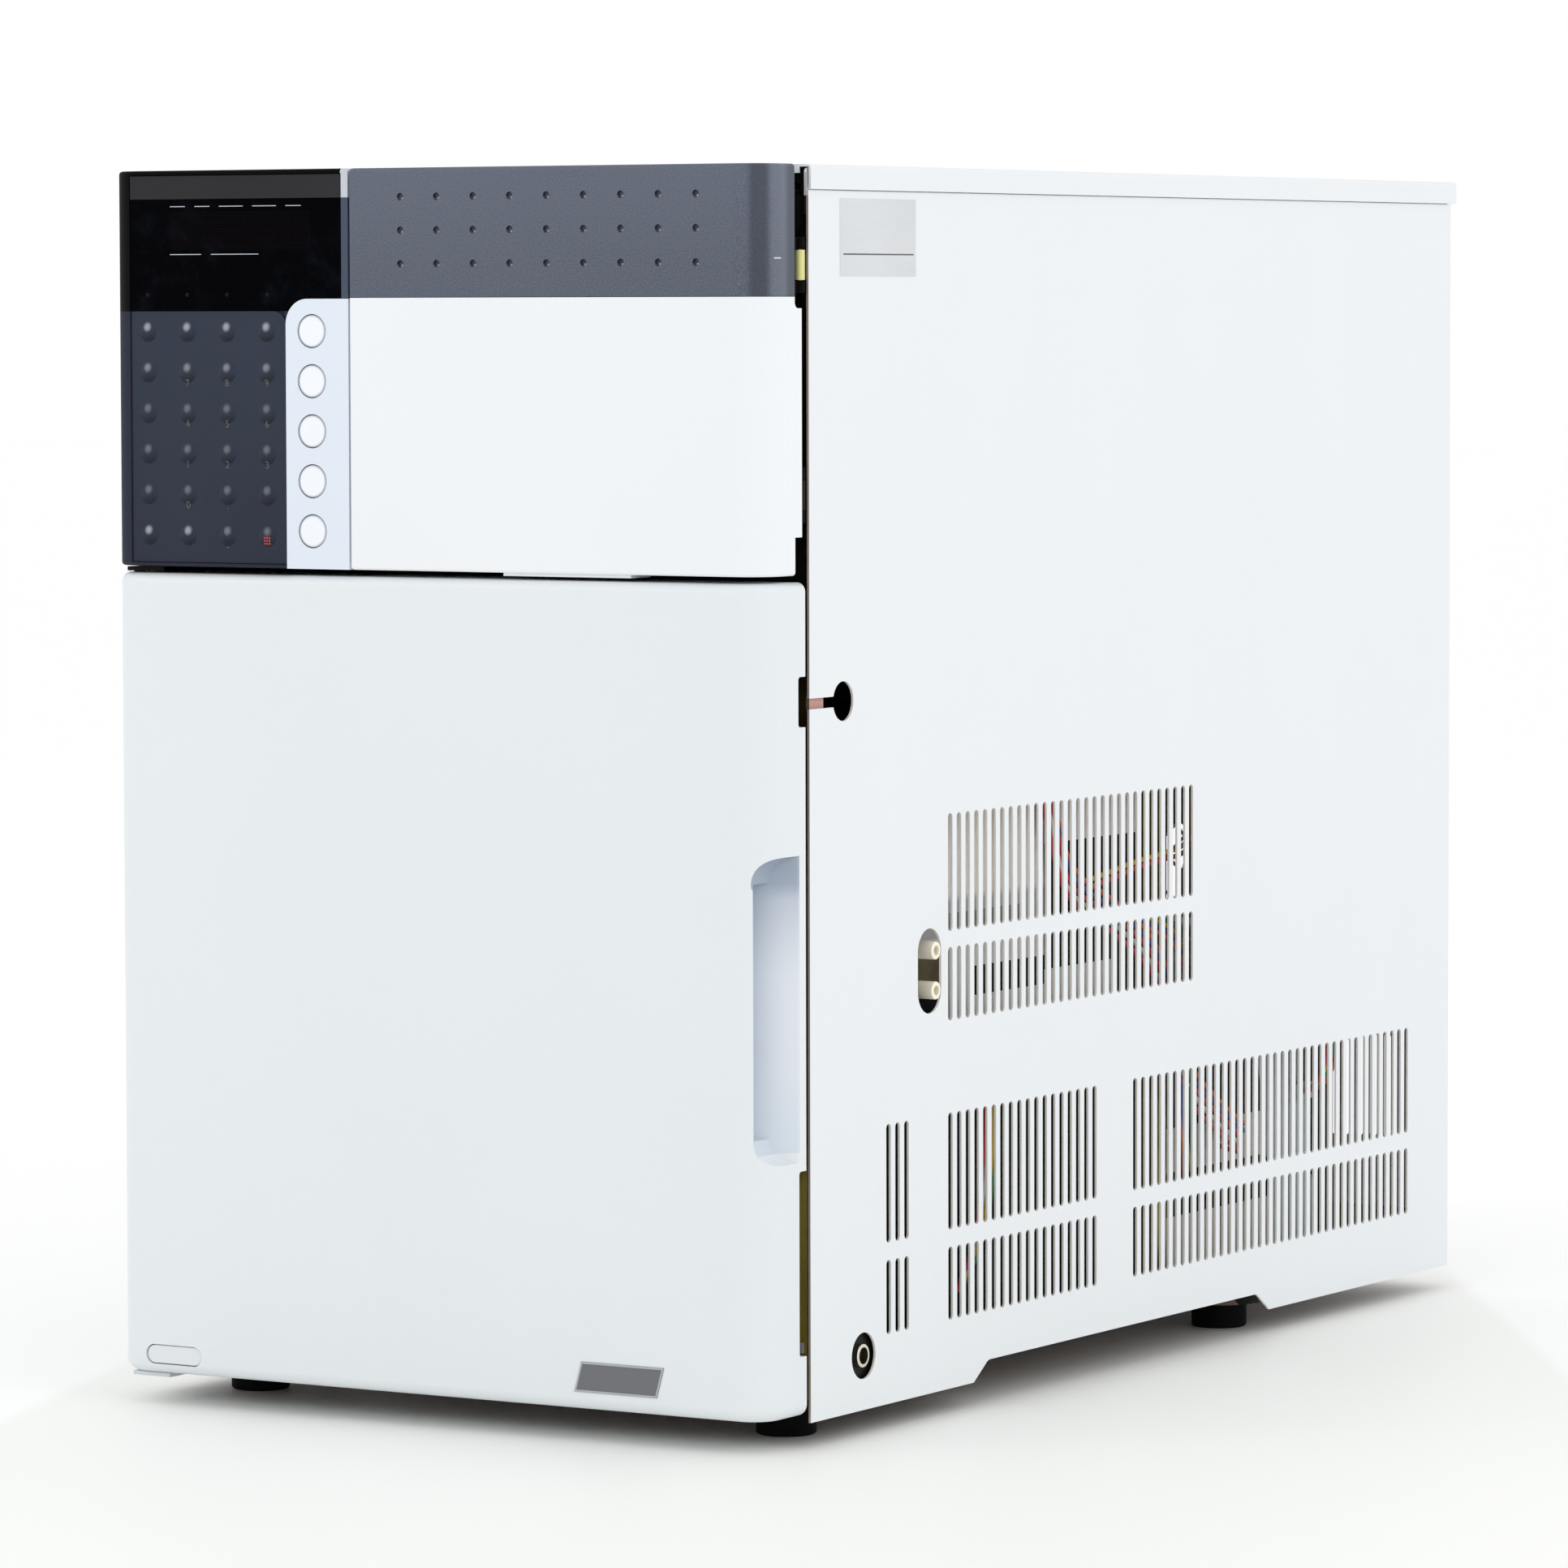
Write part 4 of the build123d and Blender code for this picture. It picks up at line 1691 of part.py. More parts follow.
# Signal connectors: shells with a tongue, each on a small plate outside the rear panel
connector_rear_y = casing_rear_y + connector_proud
with BuildPart() as signal_connectors:
    for x, z in connector_places:
        connector_x_span = (x - connector_width / 2, x + connector_width / 2)
        connector_z_span = (z - connector_height / 2, z + connector_height / 2)
        block(connector_x_span, (connector_rear_y - connector_depth, connector_rear_y), connector_z_span)
        block((x - connector_width / 2 - connector_proud, x + connector_width / 2 + connector_proud),
              (casing_rear_y, casing_rear_y + connector_shell),
              (z - connector_height / 2 - connector_shell, z + connector_height / 2 + connector_shell))
        block((connector_x_span[0] + connector_shell, connector_x_span[1] - connector_shell),
              (connector_rear_y - 2 * connector_proud, connector_rear_y + cut_overrun),
              (connector_z_span[0] + connector_shell, connector_z_span[1] - connector_shell), Mode.SUBTRACT)
        block((connector_x_span[0] + connector_proud, connector_x_span[1] - connector_proud),
              (connector_rear_y - 2 * connector_proud, connector_rear_y - connector_shell),
              (z - connector_proud / 2, z + connector_proud / 2))
finish(signal_connectors, "signal_connectors")

# Drain block on the insulation with two nipples that reach past the side panel
drain_rear_x = insulation_x + liner_gap
drain_face_x = drain_rear_x + nipple_block_reach
with BuildPart() as drain_nipples:
    block((drain_rear_x, drain_face_x),
          (nipple_y - nipple_block_width / 2, nipple_y + nipple_block_width / 2),
          (drain_hole_z - nipple_block_height / 2, drain_hole_z + nipple_block_height / 2))
    fillet(edges().filter_by(Axis.X), edge_softening)
    for z in (drain_hole_z - nipple_spread, drain_hole_z + nipple_spread):
        rod_x(nipple_y, z, nipple_radius, (drain_face_x, side_x + nipple_proud))
    tips = edges().filter_by(GeomType.CIRCLE).group_by(Axis.X)[-1]
    fillet(tips, nipple_edge)
    for z in (drain_hole_z - nipple_spread, drain_hole_z + nipple_spread):
        rod_x(nipple_y, z, nipple_bore_radius,
              (side_x + nipple_proud - nipple_bore_depth, side_x + nipple_proud + cut_overrun), Mode.SUBTRACT)
finish(drain_nipples, "drain_nipples")

# Outlet connector: a ring through the pan's tab, with a flange behind it
tab_inner_x = frame_x - pan_sheet
with BuildPart() as outlet_connector:
    rod_x(outlet_y, outlet_z, connector_ring_radius - connector_ring_gap, (tab_inner_x - sheet_gap, side_x))
    fillet(edges().filter_by(GeomType.CIRCLE).group_by(Axis.X)[-1], sheet_gap)
    rod_x(outlet_y, outlet_z, outlet_flange_radius,
          (tab_inner_x - liner_gap - outlet_flange_thickness, tab_inner_x - liner_gap))
    inner_end_x = tab_inner_x - outlet_flange_thickness
    rod_x(outlet_y, outlet_z, connector_ring_radius, (inner_end_x - outlet_inner_length, inner_end_x))
    rod_x(outlet_y, outlet_z, outlet_bore_radius, (side_x - outlet_bore_depth, side_x + cut_overrun),
          Mode.SUBTRACT)
finish(outlet_connector, "outlet_connector")

# Wires: supply to the valve drive, supply to the main board, console board to the main board
terminal_x = supply_right_x + terminal_reach
with BuildPart() as wiring_looms:
    for index in range(loom_wires):
        step = index * wire_spacing
        wire_z = loom_supply_z + step
        rise_y = loom_front_y - loom_span + step
        tube(
            (
                (terminal_x, loom_supply_y, wire_z),
                (loom_channel_x, loom_supply_y, wire_z),
                (loom_channel_x, loom_slant_rear_y, wire_z),
                (loom_channel_x, loom_slant_front_y, wire_z + loom_rise),
                (loom_channel_x, rise_y, wire_z + loom_rise),
                (loom_channel_x, rise_y, loom_top_z),
                (valve_x + drive_half_width, rise_y, loom_top_z),
            ),
            wire_radius,
            wire_bend,
        )
        tube(
            (
                (terminal_x, board_loom_y + step, board_loom_z),
                (loom_channel_x, board_loom_y + step, board_loom_z),
                (loom_channel_x, board_loom_y + step, board_plug_z),
                (main_board_half_width, board_loom_y + step, board_plug_z),
            ),
            wire_radius,
            wire_bend,
        )
        tube(
            (
                (console_loom_x + step, board_y + board_thickness, console_loom_z),
                (console_loom_x + step, console_loom_bend_y, console_loom_z),
                (console_loom_x + step, console_loom_foot_y, board_plug_z),
                (console_loom_x + step, main_board_front_y, board_plug_z),
            ),
            wire_radius,
            wire_bend,
        )
finish(wiring_looms, "wiring_looms")
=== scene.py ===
from math import cos, pi, radians, sin

import bmesh
import bpy
from mathutils import Matrix, Vector


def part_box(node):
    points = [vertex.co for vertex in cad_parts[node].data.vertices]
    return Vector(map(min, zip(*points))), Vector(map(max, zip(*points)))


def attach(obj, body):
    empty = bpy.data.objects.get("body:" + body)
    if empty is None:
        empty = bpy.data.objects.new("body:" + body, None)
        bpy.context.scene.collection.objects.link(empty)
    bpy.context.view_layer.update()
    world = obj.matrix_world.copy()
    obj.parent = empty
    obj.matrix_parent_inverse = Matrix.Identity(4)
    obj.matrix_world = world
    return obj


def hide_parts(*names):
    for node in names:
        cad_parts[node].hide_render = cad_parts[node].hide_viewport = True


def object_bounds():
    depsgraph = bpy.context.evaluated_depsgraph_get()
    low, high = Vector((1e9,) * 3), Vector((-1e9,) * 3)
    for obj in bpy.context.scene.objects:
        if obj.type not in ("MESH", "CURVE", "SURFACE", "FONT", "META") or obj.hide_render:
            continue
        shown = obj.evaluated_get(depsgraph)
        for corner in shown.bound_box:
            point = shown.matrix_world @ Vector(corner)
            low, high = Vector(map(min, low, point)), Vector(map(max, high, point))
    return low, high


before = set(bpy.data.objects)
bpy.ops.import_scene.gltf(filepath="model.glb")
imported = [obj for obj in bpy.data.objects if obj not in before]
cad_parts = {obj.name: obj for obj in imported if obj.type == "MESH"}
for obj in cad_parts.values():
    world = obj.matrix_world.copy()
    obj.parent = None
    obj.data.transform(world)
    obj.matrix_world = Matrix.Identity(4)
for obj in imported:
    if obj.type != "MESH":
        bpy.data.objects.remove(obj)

# A bench autosampler, in metres: X to the right as seen from the front, Y to the back, Z upwards.
cad_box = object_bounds()
mm = 0.001
chassis = "chassis"
front_y = cad_box[0].y

# The console's keys and round buttons
key_first_x = -112.2 * mm
key_first_z = 361.5 * mm
key_pitch_x = 16.07 * mm
key_pitch_z = 13.56 * mm
button_first_z = 361.6 * mm
button_pitch = 16.5 * mm

# The dark band's dimples
dimple_first_x = -10.1 * mm
dimple_first_z = 405.5 * mm
dimple_pitch_x = 14.2 * mm
dimple_pitch_z = 10.95 * mm
dimple_radius = 1.25 * mm

# The finger grip in the door: the middles of its round corners and the bounds of its hollow
grip_corner_x = 131.3 * mm
grip_low_z = 101.9 * mm
grip_high_z = 184.6 * mm
grip_corner_reach = 8.66 * mm
grip_front_y = -247.8 * mm
grip_rear_y = -229 * mm
grip_left_x = 115.2 * mm
grip_ledge_z = 97 * mm

# The casing's sheets, and where the lid laps over the sides
sheet_thickness = 0.8 * mm
paint_depth = 0.04 * mm
lid_lap_z = 405 * mm

# The table top's left and right edges: a place on each in millimetres, and the direction across it
table_left = ((-145, -293), (0.944, 0.329))
table_right = ((105, 297), (0.826, 0.563))


# Shader arithmetic


class Value:
    """A number or vector that varies over a surface. Arithmetic on it adds Math nodes."""

    def __init__(self, finish, socket):
        self.finish = finish
        self.socket = socket

    def maths(self, operation, *values):
        """Adds one Math node."""
        return self.finish.node("ShaderNodeMath", {"operation": operation}, dict(enumerate(values)))

    def __add__(self, other):
        return self.maths("ADD", self, other)

    def __radd__(self, other):
        return self.maths("ADD", other, self)

    def __sub__(self, other):
        return self.maths("SUBTRACT", self, other)

    def __rsub__(self, other):
        return self.maths("SUBTRACT", other, self)

    def __mul__(self, other):
        return self.maths("MULTIPLY", self, other)

    def __rmul__(self, other):
        return self.maths("MULTIPLY", other, self)

    def __truediv__(self, other):
        return self.maths("DIVIDE", self, other)

    def __pow__(self, other):
        return self.maths("POWER", self, other)

    def __mod__(self, other):
        return self.maths("FLOORED_MODULO", self, other)

    def __abs__(self):
        return self.maths("ABSOLUTE", self)

    def __gt__(self, other):
        return self.maths("GREATER_THAN", self, other)

    def __lt__(self, other):
        return self.maths("LESS_THAN", self, other)


# The Mix node's sockets for colours
mix_share, mix_first, mix_second, mix_result = 0, 6, 7, 2

# The open end of a block's span, in millimetres
far = 1000


class Finish:
    """A material built of nodes round one principled shader."""

    def __init__(self, name, **constants):
        self.material = bpy.data.materials.new(name)
        self.material.use_nodes = True
        self.tree = self.material.node_tree
        self.shader = self.tree.nodes["Principled BSDF"]
        self.put(self.shader, {key.replace("_", " ").title().replace("Ior", "IOR"): value
                               for key, value in constants.items()})
        self.place = self.node("ShaderNodeTexCoord", output="Object")
        self.relief = None

    def put(self, node, values):
        """Sets or links a node's input sockets."""
        for name, value in values.items():
            if isinstance(value, Value):
                self.tree.links.new(value.socket, node.inputs[name])
            else:
                node.inputs[name].default_value = value

    def node(self, kind, settings=(), values=(), output=0):
        """Adds a node, makes its settings, then fills its sockets, and gives one output."""
        made = self.tree.nodes.new(kind)
        for name, value in dict(settings).items():
            if name == "stops":
                while len(made.color_ramp.elements) < len(value):
                    made.color_ramp.elements.new(1)
                for element, (position, colour) in zip(made.color_ramp.elements, value):
                    element.position = position
                    element.color = colour
            else:
                setattr(made, name, value)
        self.put(made, dict(values))
        return Value(self, made.outputs[output])

    def along(self, axis):
        """One coordinate of the surface: X, Y or Z."""
        return self.node("ShaderNodeSeparateXYZ", values={"Vector": self.place}, output=axis)

    def noise(self, scale, detail=2, stretch=(1, 1, 1), rough=0.5):
        """Cloudy variation with so many spots a metre, drawn out along an axis if asked."""
        place = self.node("ShaderNodeMapping", values={"Vector": self.place, "Scale": stretch})
        values = {"Vector": place, "Scale": scale, "Detail": detail, "Roughness": rough}
        return self.node("ShaderNodeTexNoise", values=values)

    def mix(self, share, first, second):
        """A blend of two colours."""
        values = {mix_share: share, mix_first: first, mix_second: second}
        return self.node("ShaderNodeMix", {"data_type": "RGBA"}, values, output=mix_result)

    def ramp(self, value, *stops):
        """Colours along a value from 0 to 1."""
        return self.node("ShaderNodeValToRGB", {"stops": stops}, {"Fac": value})

    def slope(self, value, low, high):
        """A value's share of the way from one place to another, held between 0 and 1."""
        return self.node("ShaderNodeMapRange", {"interpolation_type": "SMOOTHSTEP"},
                         {"Value": value, "From Min": low, "From Max": high})

    def between(self, value, low, high):
        """One where a value lies between two others, and zero elsewhere."""
        return (value > low) * (value < high)

    def block(self, **spans):
        """One inside a block, given by its spans in millimetres along the axes, and zero outside."""
        share = 1
        for axis, (low, high) in spans.items():
            share = self.between(self.along(axis), low * mm, high * mm) * share
        return share

    def either(self, first, second):
        """The larger of two shares."""
        return self.node("ShaderNodeMath", {"operation": "MAXIMUM"}, {0: first, 1: second})

    def reach(self, first, second):
        """How far a point is from the place where both values are zero."""
        return (first * first + second * second) ** 0.5

    def from_nearest(self, value, first, pitch):
        """How far a value is from the nearest of a row of evenly spaced places."""
        return (value - first + pitch / 2) % pitch - pitch / 2

    def stripes(self, value, pitch, width):
        """One on even stripes that take up a share of their pitch, and zero between them."""
        return abs((value % pitch) - pitch / 2) < pitch * width / 2

    def colour(self, colour):
        """Gives the surface its colour, and keeps it for a finish that builds on this one."""
        self.shown_colour = colour
        self.put(self.shader, {"Base Color": colour})

    def roughness(self, value):
        """Gives the surface its roughness, from 0 for a mirror to 1 for chalk."""
        self.put(self.shader, {"Roughness": value})

    def bump(self, height, depth):
        """Adds a relief this deep, in metres, to the surface."""
        values = {"Height": height, "Distance": depth, "Strength": 1.0}
        if self.relief:
            values["Normal"] = self.relief
        self.relief = self.node("ShaderNodeBump", values=values)
        self.put(self.shader, {"Normal": self.relief})


def tint(code, light=1.0):
    """A colour from its six-digit code, on the linear scale of light."""
    shares = [int(code[start:start + 2], 16) / 255 for start in (0, 2, 4)]
    linear = [share / 12.92 if share <= 0.04045 else ((share + 0.055) / 1.055) ** 2.4
              for share in shares]
    return (*(min(1.0, share * light) for share in linear), 1)


# Finishes of the object's surfaces


def moulded(name, code, roughness=0.42, **constants):
    """Moulded plastic: a fine spark-eroded grain, slow changes of gloss and a trace of drift."""
    gloss_spread = 0.08
    finish = Finish(name, **constants)
    drift = finish.noise(11, 3)
    speck = finish.noise(1700, 1)
    finish.colour(finish.mix(drift * 0.6 + speck * 0.4, tint(code, 0.965), tint(code, 1.03)))
    finish.roughness(roughness - gloss_spread / 2 + gloss_spread * drift)
    finish.bump(speck, 0.012 * mm)
    return finish


def painted_sheet(name, code):
    """Powder paint on sheet steel: orange peel, finer specks and a few faint wiping marks."""
    finish = Finish(name)
    peel = finish.noise(520, 2)
    speck = finish.noise(2600, 1)
    wipe = finish.noise(16, 5, stretch=(1, 1, 0.35), rough=0.6)
    finish.colour(finish.mix(wipe * 0.7 + speck * 0.3, tint(code, 0.975), tint(code, 1.02)))
    finish.roughness(0.36 + 0.12 * wipe)
    finish.bump(peel, 0.016 * mm)
    finish.bump(speck, 0.004 * mm)
    return finish


def side_paint(code):
    """The casing's paint, with bare steel on the cut edges of the side sheets' slots and fronts,
    painted light on the slots' edges and painted shadow of the lid on the fronts.
    """
    finish = painted_sheet("side_paint", code)
    painted = finish.shown_colour
    low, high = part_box("right_side_panel")
    inner_face = high.x - sheet_thickness
    from_middle = abs(finish.along("X"))
    inside_sheet = finish.between(from_middle, inner_face + paint_depth, high.x - paint_depth)
    front_edge = finish.along("Y") < low.y + 0.05 * mm
    stain = finish.noise(180, 3)
    # Bare steel on the slots' cut edges, painted near white: painted light inside the slots
    edge = finish.mix(stain, tint("E3DED8"), tint("F6F2EC"))
    under_lid = finish.along("Z") > lid_lap_z
    shaded = finish.block(Z=(380, 405.1)) * (from_middle < inner_face)
    front = finish.mix(stain, tint("8C7D7A"), tint("A3948F"))
    # Painted shadow: the fronts' cut edges go near black where the lid's rim shades them
    front = finish.mix(shaded, front, tint("11100A"))
    front = finish.mix(under_lid, front, tint("C4C2C5"))
    finish.colour(finish.mix(front_edge, finish.mix(inside_sheet, painted, edge), front))
    return finish


def zinc_plate(name, dark=None, pale=None):
    """Yellow passivated zinc: golden and olive clouds over fine rolling lines."""
    finish = Finish(name, specular_ior_level=0.1)
    cloud = finish.noise(26, 4, rough=0.62)
    lines = finish.noise(900, 2, stretch=(1, 1, 0.04))
    shown = finish.ramp(cloud * 0.85 + lines * 0.15,
                        (0.28, tint("8A7B3C")), (0.45, tint("B9A458")),
                        (0.58, tint("C9BC7A")), (0.72, tint("A99A5E")))
    metal_share = 0.85
    lost_metal = 0.8
    # Another colour laid over where the caller asks; the callers lay casing paint on a bracket's
    # foot, a painted highlight on a hinge's top and painted shade on the pan's underside
    if pale:
        share, code = pale(finish)
        shown = finish.mix(share, shown, finish.mix(cloud, tint(code, 0.94), tint(code, 1.02)))
        metal_share = metal_share - lost_metal * share
    # Painted shade: near black, and less metallic, where the caller's mask says shade falls
    if dark:
        share = dark(finish)
        shown = finish.mix(share, shown, finish.mix(cloud, tint("0B0A09"), tint("191612")))
        metal_share = metal_share - lost_metal * share
    finish.colour(shown)
    finish.put(finish.shader, {"Metallic": metal_share})
    finish.roughness(0.3 + 0.22 * cloud)
    finish.bump(lines, 0.006 * mm)
    return finish


def frame_zinc():
    """The front frame's zinc, with painted shade: darker and browner up the door's gap, and black
    beside the upper cover.
    """
    finish = Finish("frame_zinc", specular_ior_level=0.05)
    shade_ramp_height = 300 * mm
    cloud = finish.noise(34, 4, stretch=(1, 1, 0.5), rough=0.62)
    lines = finish.noise(900, 2, stretch=(1, 1, 0.04))
    height = finish.along("Z") / shade_ramp_height
    # Darker and browner going up the door's gap: painted shade
    shown = finish.ramp(height + 0.22 * (cloud - 0.5),
                        (0.1, tint("A99543")), (0.3, tint("C2B15E")), (0.36, tint("8C7A3A")),
                        (0.5, tint("7A5A3C")), (0.62, tint("4E3E24")), (0.9, tint("2C2417")))
    # Near black, matt and not metallic beside the upper cover: painted shade in the gap
    painted_shade_beside_cover = finish.block(Z=(279, far))
    black = finish.mix(cloud, tint("070707"), tint("12110F"))
    finish.colour(finish.mix(painted_shade_beside_cover, shown, black))
    finish.put(finish.shader, {"Metallic": 0.8 - 0.75 * painted_shade_beside_cover})
    finish.roughness(0.34 + 0.2 * cloud + 0.2 * painted_shade_beside_cover)
    finish.bump(lines, 0.006 * mm)
    return finish


def metal(name, code, roughness, lay=(1, 1, 1)):
    """Worked metal with tool lines drawn out along its lay."""
    gloss_spread = 0.1
    finish = Finish(name, metallic=1.0)
    lines = finish.noise(1500, 2, stretch=lay)
    cloud = finish.noise(30, 3)
    finish.colour(finish.mix(cloud, tint(code, 0.9), tint(code, 1.06)))
    finish.roughness(roughness - gloss_spread / 2 + gloss_spread * cloud)
    finish.bump(lines, 0.004 * mm)
    return finish


def rubber(name, code, roughness=0.75):
    """Matt moulded rubber with a dusty bloom."""
    gloss_spread = 0.2
    finish = Finish(name, specular_ior_level=0.1)
    bloom = finish.noise(70, 5, rough=0.65)
    grain = finish.noise(2400, 1)
    finish.colour(finish.mix(bloom, tint(code), tint(code, 1.8)))
    finish.roughness(roughness - gloss_spread / 2 + gloss_spread * bloom)
    finish.bump(grain, 0.02 * mm)
    return finish


def console_shell():
    """The console's wrap-round moulding: black beside the screen, blue grey beside the keys."""
    finish = Finish("console_shell", specular_ior_level=0.05)
    screen_gap, tab_height = 0.3 * mm, 9.5 * mm
    low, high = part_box("display_window")
    edge_strip = finish.along("X") > high.x
    beside_screen = finish.along("Z") > low.z - screen_gap
    tab = finish.along("Z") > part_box("console_housing")[1].z - tab_height
    rear_half = finish.block(Y=(-235, far))
    drift = finish.noise(11, 3)
    speck = finish.noise(1500, 2)
    shade = finish.mix(drift * 0.5 + speck * 0.5, tint("262A36"), tint("343845"))
    black = finish.mix(drift, tint("020204"), tint("050609"))
    edge = finish.mix(tab, tint("4B5365"), tint("C4C9D2"))
    outside = finish.mix(edge_strip, finish.mix(beside_screen, shade, black), edge)
    rear = finish.mix(drift, tint("0D0F14"), tint("14171E"))
    finish.colour(finish.mix(rear_half, outside, rear))
    finish.roughness(0.5 + 0.12 * drift)
    finish.bump(speck, 0.01 * mm)
    return finish


def key_film():
    """Satin film over the keys, hazy with wiping and paler towards the top as a painted reflection,
    with a painted highlight on each dome's top and painted shade below it.
    """
    finish = Finish("key_film", specular_ior_level=0.15)
    dome_radius, highlight_rise = 3.5 * mm, 1.5 * mm
    haze = finish.noise(16, 5, stretch=(1, 1, 0.6), rough=0.62)
    speck = finish.noise(1500, 2)
    across, height = finish.along("X"), finish.along("Z")
    column = finish.from_nearest(across, key_first_x, key_pitch_x)
    row = finish.from_nearest(height, key_first_z, key_pitch_z)
    on_dome = finish.reach(column, row) < dome_radius
    # Painted shade on each dome's lower half
    shade = on_dome * finish.slope(row * -1.0, -0.5 * mm, 3.2 * mm)
    # Painted highlight on each dome's upper half, strongest on the first row and low on the left
    from_top = finish.reach(column, row - highlight_rise)
    painted_highlight = on_dome * (1 - finish.slope(from_top, 0.4 * mm, 2 * mm))
    first_row = finish.slope(height, 340 * mm, 362 * mm)
    low_left = finish.block(Z=(-far, 300)) * (1 - finish.slope(across, -98 * mm, -74 * mm))
    highlight_strength = 0.22 + 0.4 * finish.either(first_row, low_left)
    # Lighter towards the top: a painted reflection
    top_reflection_share = finish.slope(height, 283 * mm, 366 * mm)
    plain = finish.mix(top_reflection_share, tint("1E2331"), tint("282E3D"))
    film = finish.mix(haze * 0.4 + speck * 0.4, plain, tint("343B4B"))
    highlighted = finish.mix(painted_highlight * highlight_strength, film, tint("B4BAC6"))
    finish.colour(finish.mix(shade * 0.75, highlighted, tint("12151E")))
    finish.roughness(0.3 + 0.12 * haze)
    finish.bump(speck, 0.01 * mm)
    return finish


def screen_glass():
    """Glossy dark window: a brown-grey title band above a black screen with faint lamp cells."""
    finish = Finish("screen_glass", specular_ior_level=0.02)
    title_height, cell_pitch, cell_width = 7.7 * mm, 0.9 * mm, 0.6
    drift = finish.noise(20, 4)
    dust = finish.noise(42, 6, rough=0.7)
    band = finish.along("Z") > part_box("display_window")[1].z - title_height
    column = finish.stripes(finish.along("X"), cell_pitch, cell_width)
    row = finish.stripes(finish.along("Z"), cell_pitch, cell_width)
    cells = column * row * finish.block(X=(-103, -46), Z=(388.5, 401.5))
    black = finish.mix(finish.slope(dust, 0.5, 0.78), tint("010103"), tint("0D1018"))
    lit = finish.mix(cells * 0.5, black, tint("150D0E"))
    title = finish.mix(drift, tint("2E2D2F"), tint("383739"))
    finish.colour(finish.mix(band, lit, title))
    finish.roughness(0.1 + 0.1 * drift + 0.25 * band)
    return finish


def band_plastic():
    """The dark band's flecked plastic, with painted light: a paler top, streaks of painted
    reflection where it turns, painted shade at its rear edge, and painted shade and highlights in
    its dimples.
    """
    finish = Finish("band_plastic", specular_ior_level=0.35)
    low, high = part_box("upper_cover_band")
    across, depth, height = (finish.along(axis) for axis in "XYZ")
    drift = finish.noise(14, 4)
    fleck = finish.noise(1900, 2, rough=0.7)
    # Lighter towards the top: painted light
    upper = finish.slope(height, low.z, high.z)
    shade = finish.mix(upper, tint("434A58"), tint("4F5665"))
    fleck_share = finish.slope(fleck, 0.35, 0.68) * 0.5 + drift * 0.2
    flecked = finish.mix(fleck_share, shade, tint("6B7280"))

    # Painted reflections: a dark and a light streak follow the band round its right-hand corner, and
    # painted shade darkens its rear edge
    turn_x, turn_lean = 121 * mm, 0.7
    turned = depth + (across - turn_x) * turn_lean
    painted_dark_reflection = (finish.slope(turned, -249 * mm, -245.8 * mm)
                   * (1 - finish.slope(turned, -241.8 * mm, -238.4 * mm)) * (across > 119 * mm))
    painted_light_reflection = (finish.slope(turned, -240.6 * mm, -237.2 * mm)
                    * (1 - finish.slope(depth, high.y - 8 * mm, high.y - 2 * mm)))
    painted_edge_shade = finish.slope(depth, high.y - 7 * mm, high.y - 2.5 * mm)
    # A short bright line near the band's right-hand corner
    bright_line = finish.block(X=(126.5, far), Y=(-242.4, -239.4), Z=(384.6, 385.1))
    shown = finish.mix(painted_dark_reflection * 0.6, flecked, tint("262A36"))
    shown = finish.mix(painted_light_reflection * 0.22, shown, tint("8A919F"))
    shown = finish.mix(painted_edge_shade * 0.45, shown, tint("2A2F3B"))
    shown = finish.mix(bright_line * 0.8, shown, tint("D5D8DE"))

    # Each dimple has painted shade towards its upper left and a painted highlight below it on the
    # right
    column = finish.from_nearest(across, dimple_first_x, dimple_pitch_x)
    row = finish.from_nearest(height, dimple_first_z, dimple_pitch_z)
    below_face = depth > front_y + 0.08 * mm
    in_dimple = (finish.reach(column, row) < dimple_radius) * below_face
    hollow = finish.reach(column + 0.3 * mm, row - 0.35 * mm) < 1.05 * mm
    painted_glint = finish.reach(column - 0.3 * mm, row + 0.55 * mm) < 0.38 * mm
    shown = finish.mix(in_dimple * hollow * 0.75, shown, tint("171A22"))
    finish.colour(finish.mix(in_dimple * painted_glint * 0.6, shown, tint("C3C8D0")))
    finish.roughness(0.34 + 0.1 * drift)
    finish.bump(fleck, 0.014 * mm)
    return finish


def door_plastic(code):
    """The door's white plastic, blue grey in the shade of the finger grip's hollow."""
    finish = moulded("door_white", code)
    plain = finish.shown_colour
    across, depth, height = (finish.along(axis) for axis in "XYZ")
    low_corner, high_corner = (
        finish.reach(across - grip_corner_x, height - corner_z) < grip_corner_reach
        for corner_z in (grip_low_z, grip_high_z))
    between_corners = finish.between(height, grip_low_z, grip_high_z)
    opening = finish.either(between_corners, finish.either(low_corner, high_corner))
    behind_front = finish.either(depth > grip_front_y, high_corner)
    hollow = opening * behind_front * (depth < grip_rear_y) * (across > grip_left_x)
    upper = finish.slope(height, 150 * mm, 190 * mm)
    lower = 1 - finish.slope(height, 96 * mm, 130 * mm)
    inner = finish.mix(lower, finish.mix(upper, tint("B9C3D0"), tint("97A2B3")), tint("C0CBD7"))
    outer = finish.mix(lower, finish.mix(upper, tint("D9DFE6"), tint("B6BFCC")), tint("D0D9E2"))
    outer_share = (finish.slope(across, 116 * mm, 128.6 * mm)
                   * (1 - finish.slope(height, 178 * mm, 185 * mm)))
    lit_ledge = height < grip_ledge_z
    shade = finish.mix(outer_share, inner, outer)
    finish.colour(finish.mix(hollow * (1 - 0.8 * lit_ledge), plain, shade))
    return finish


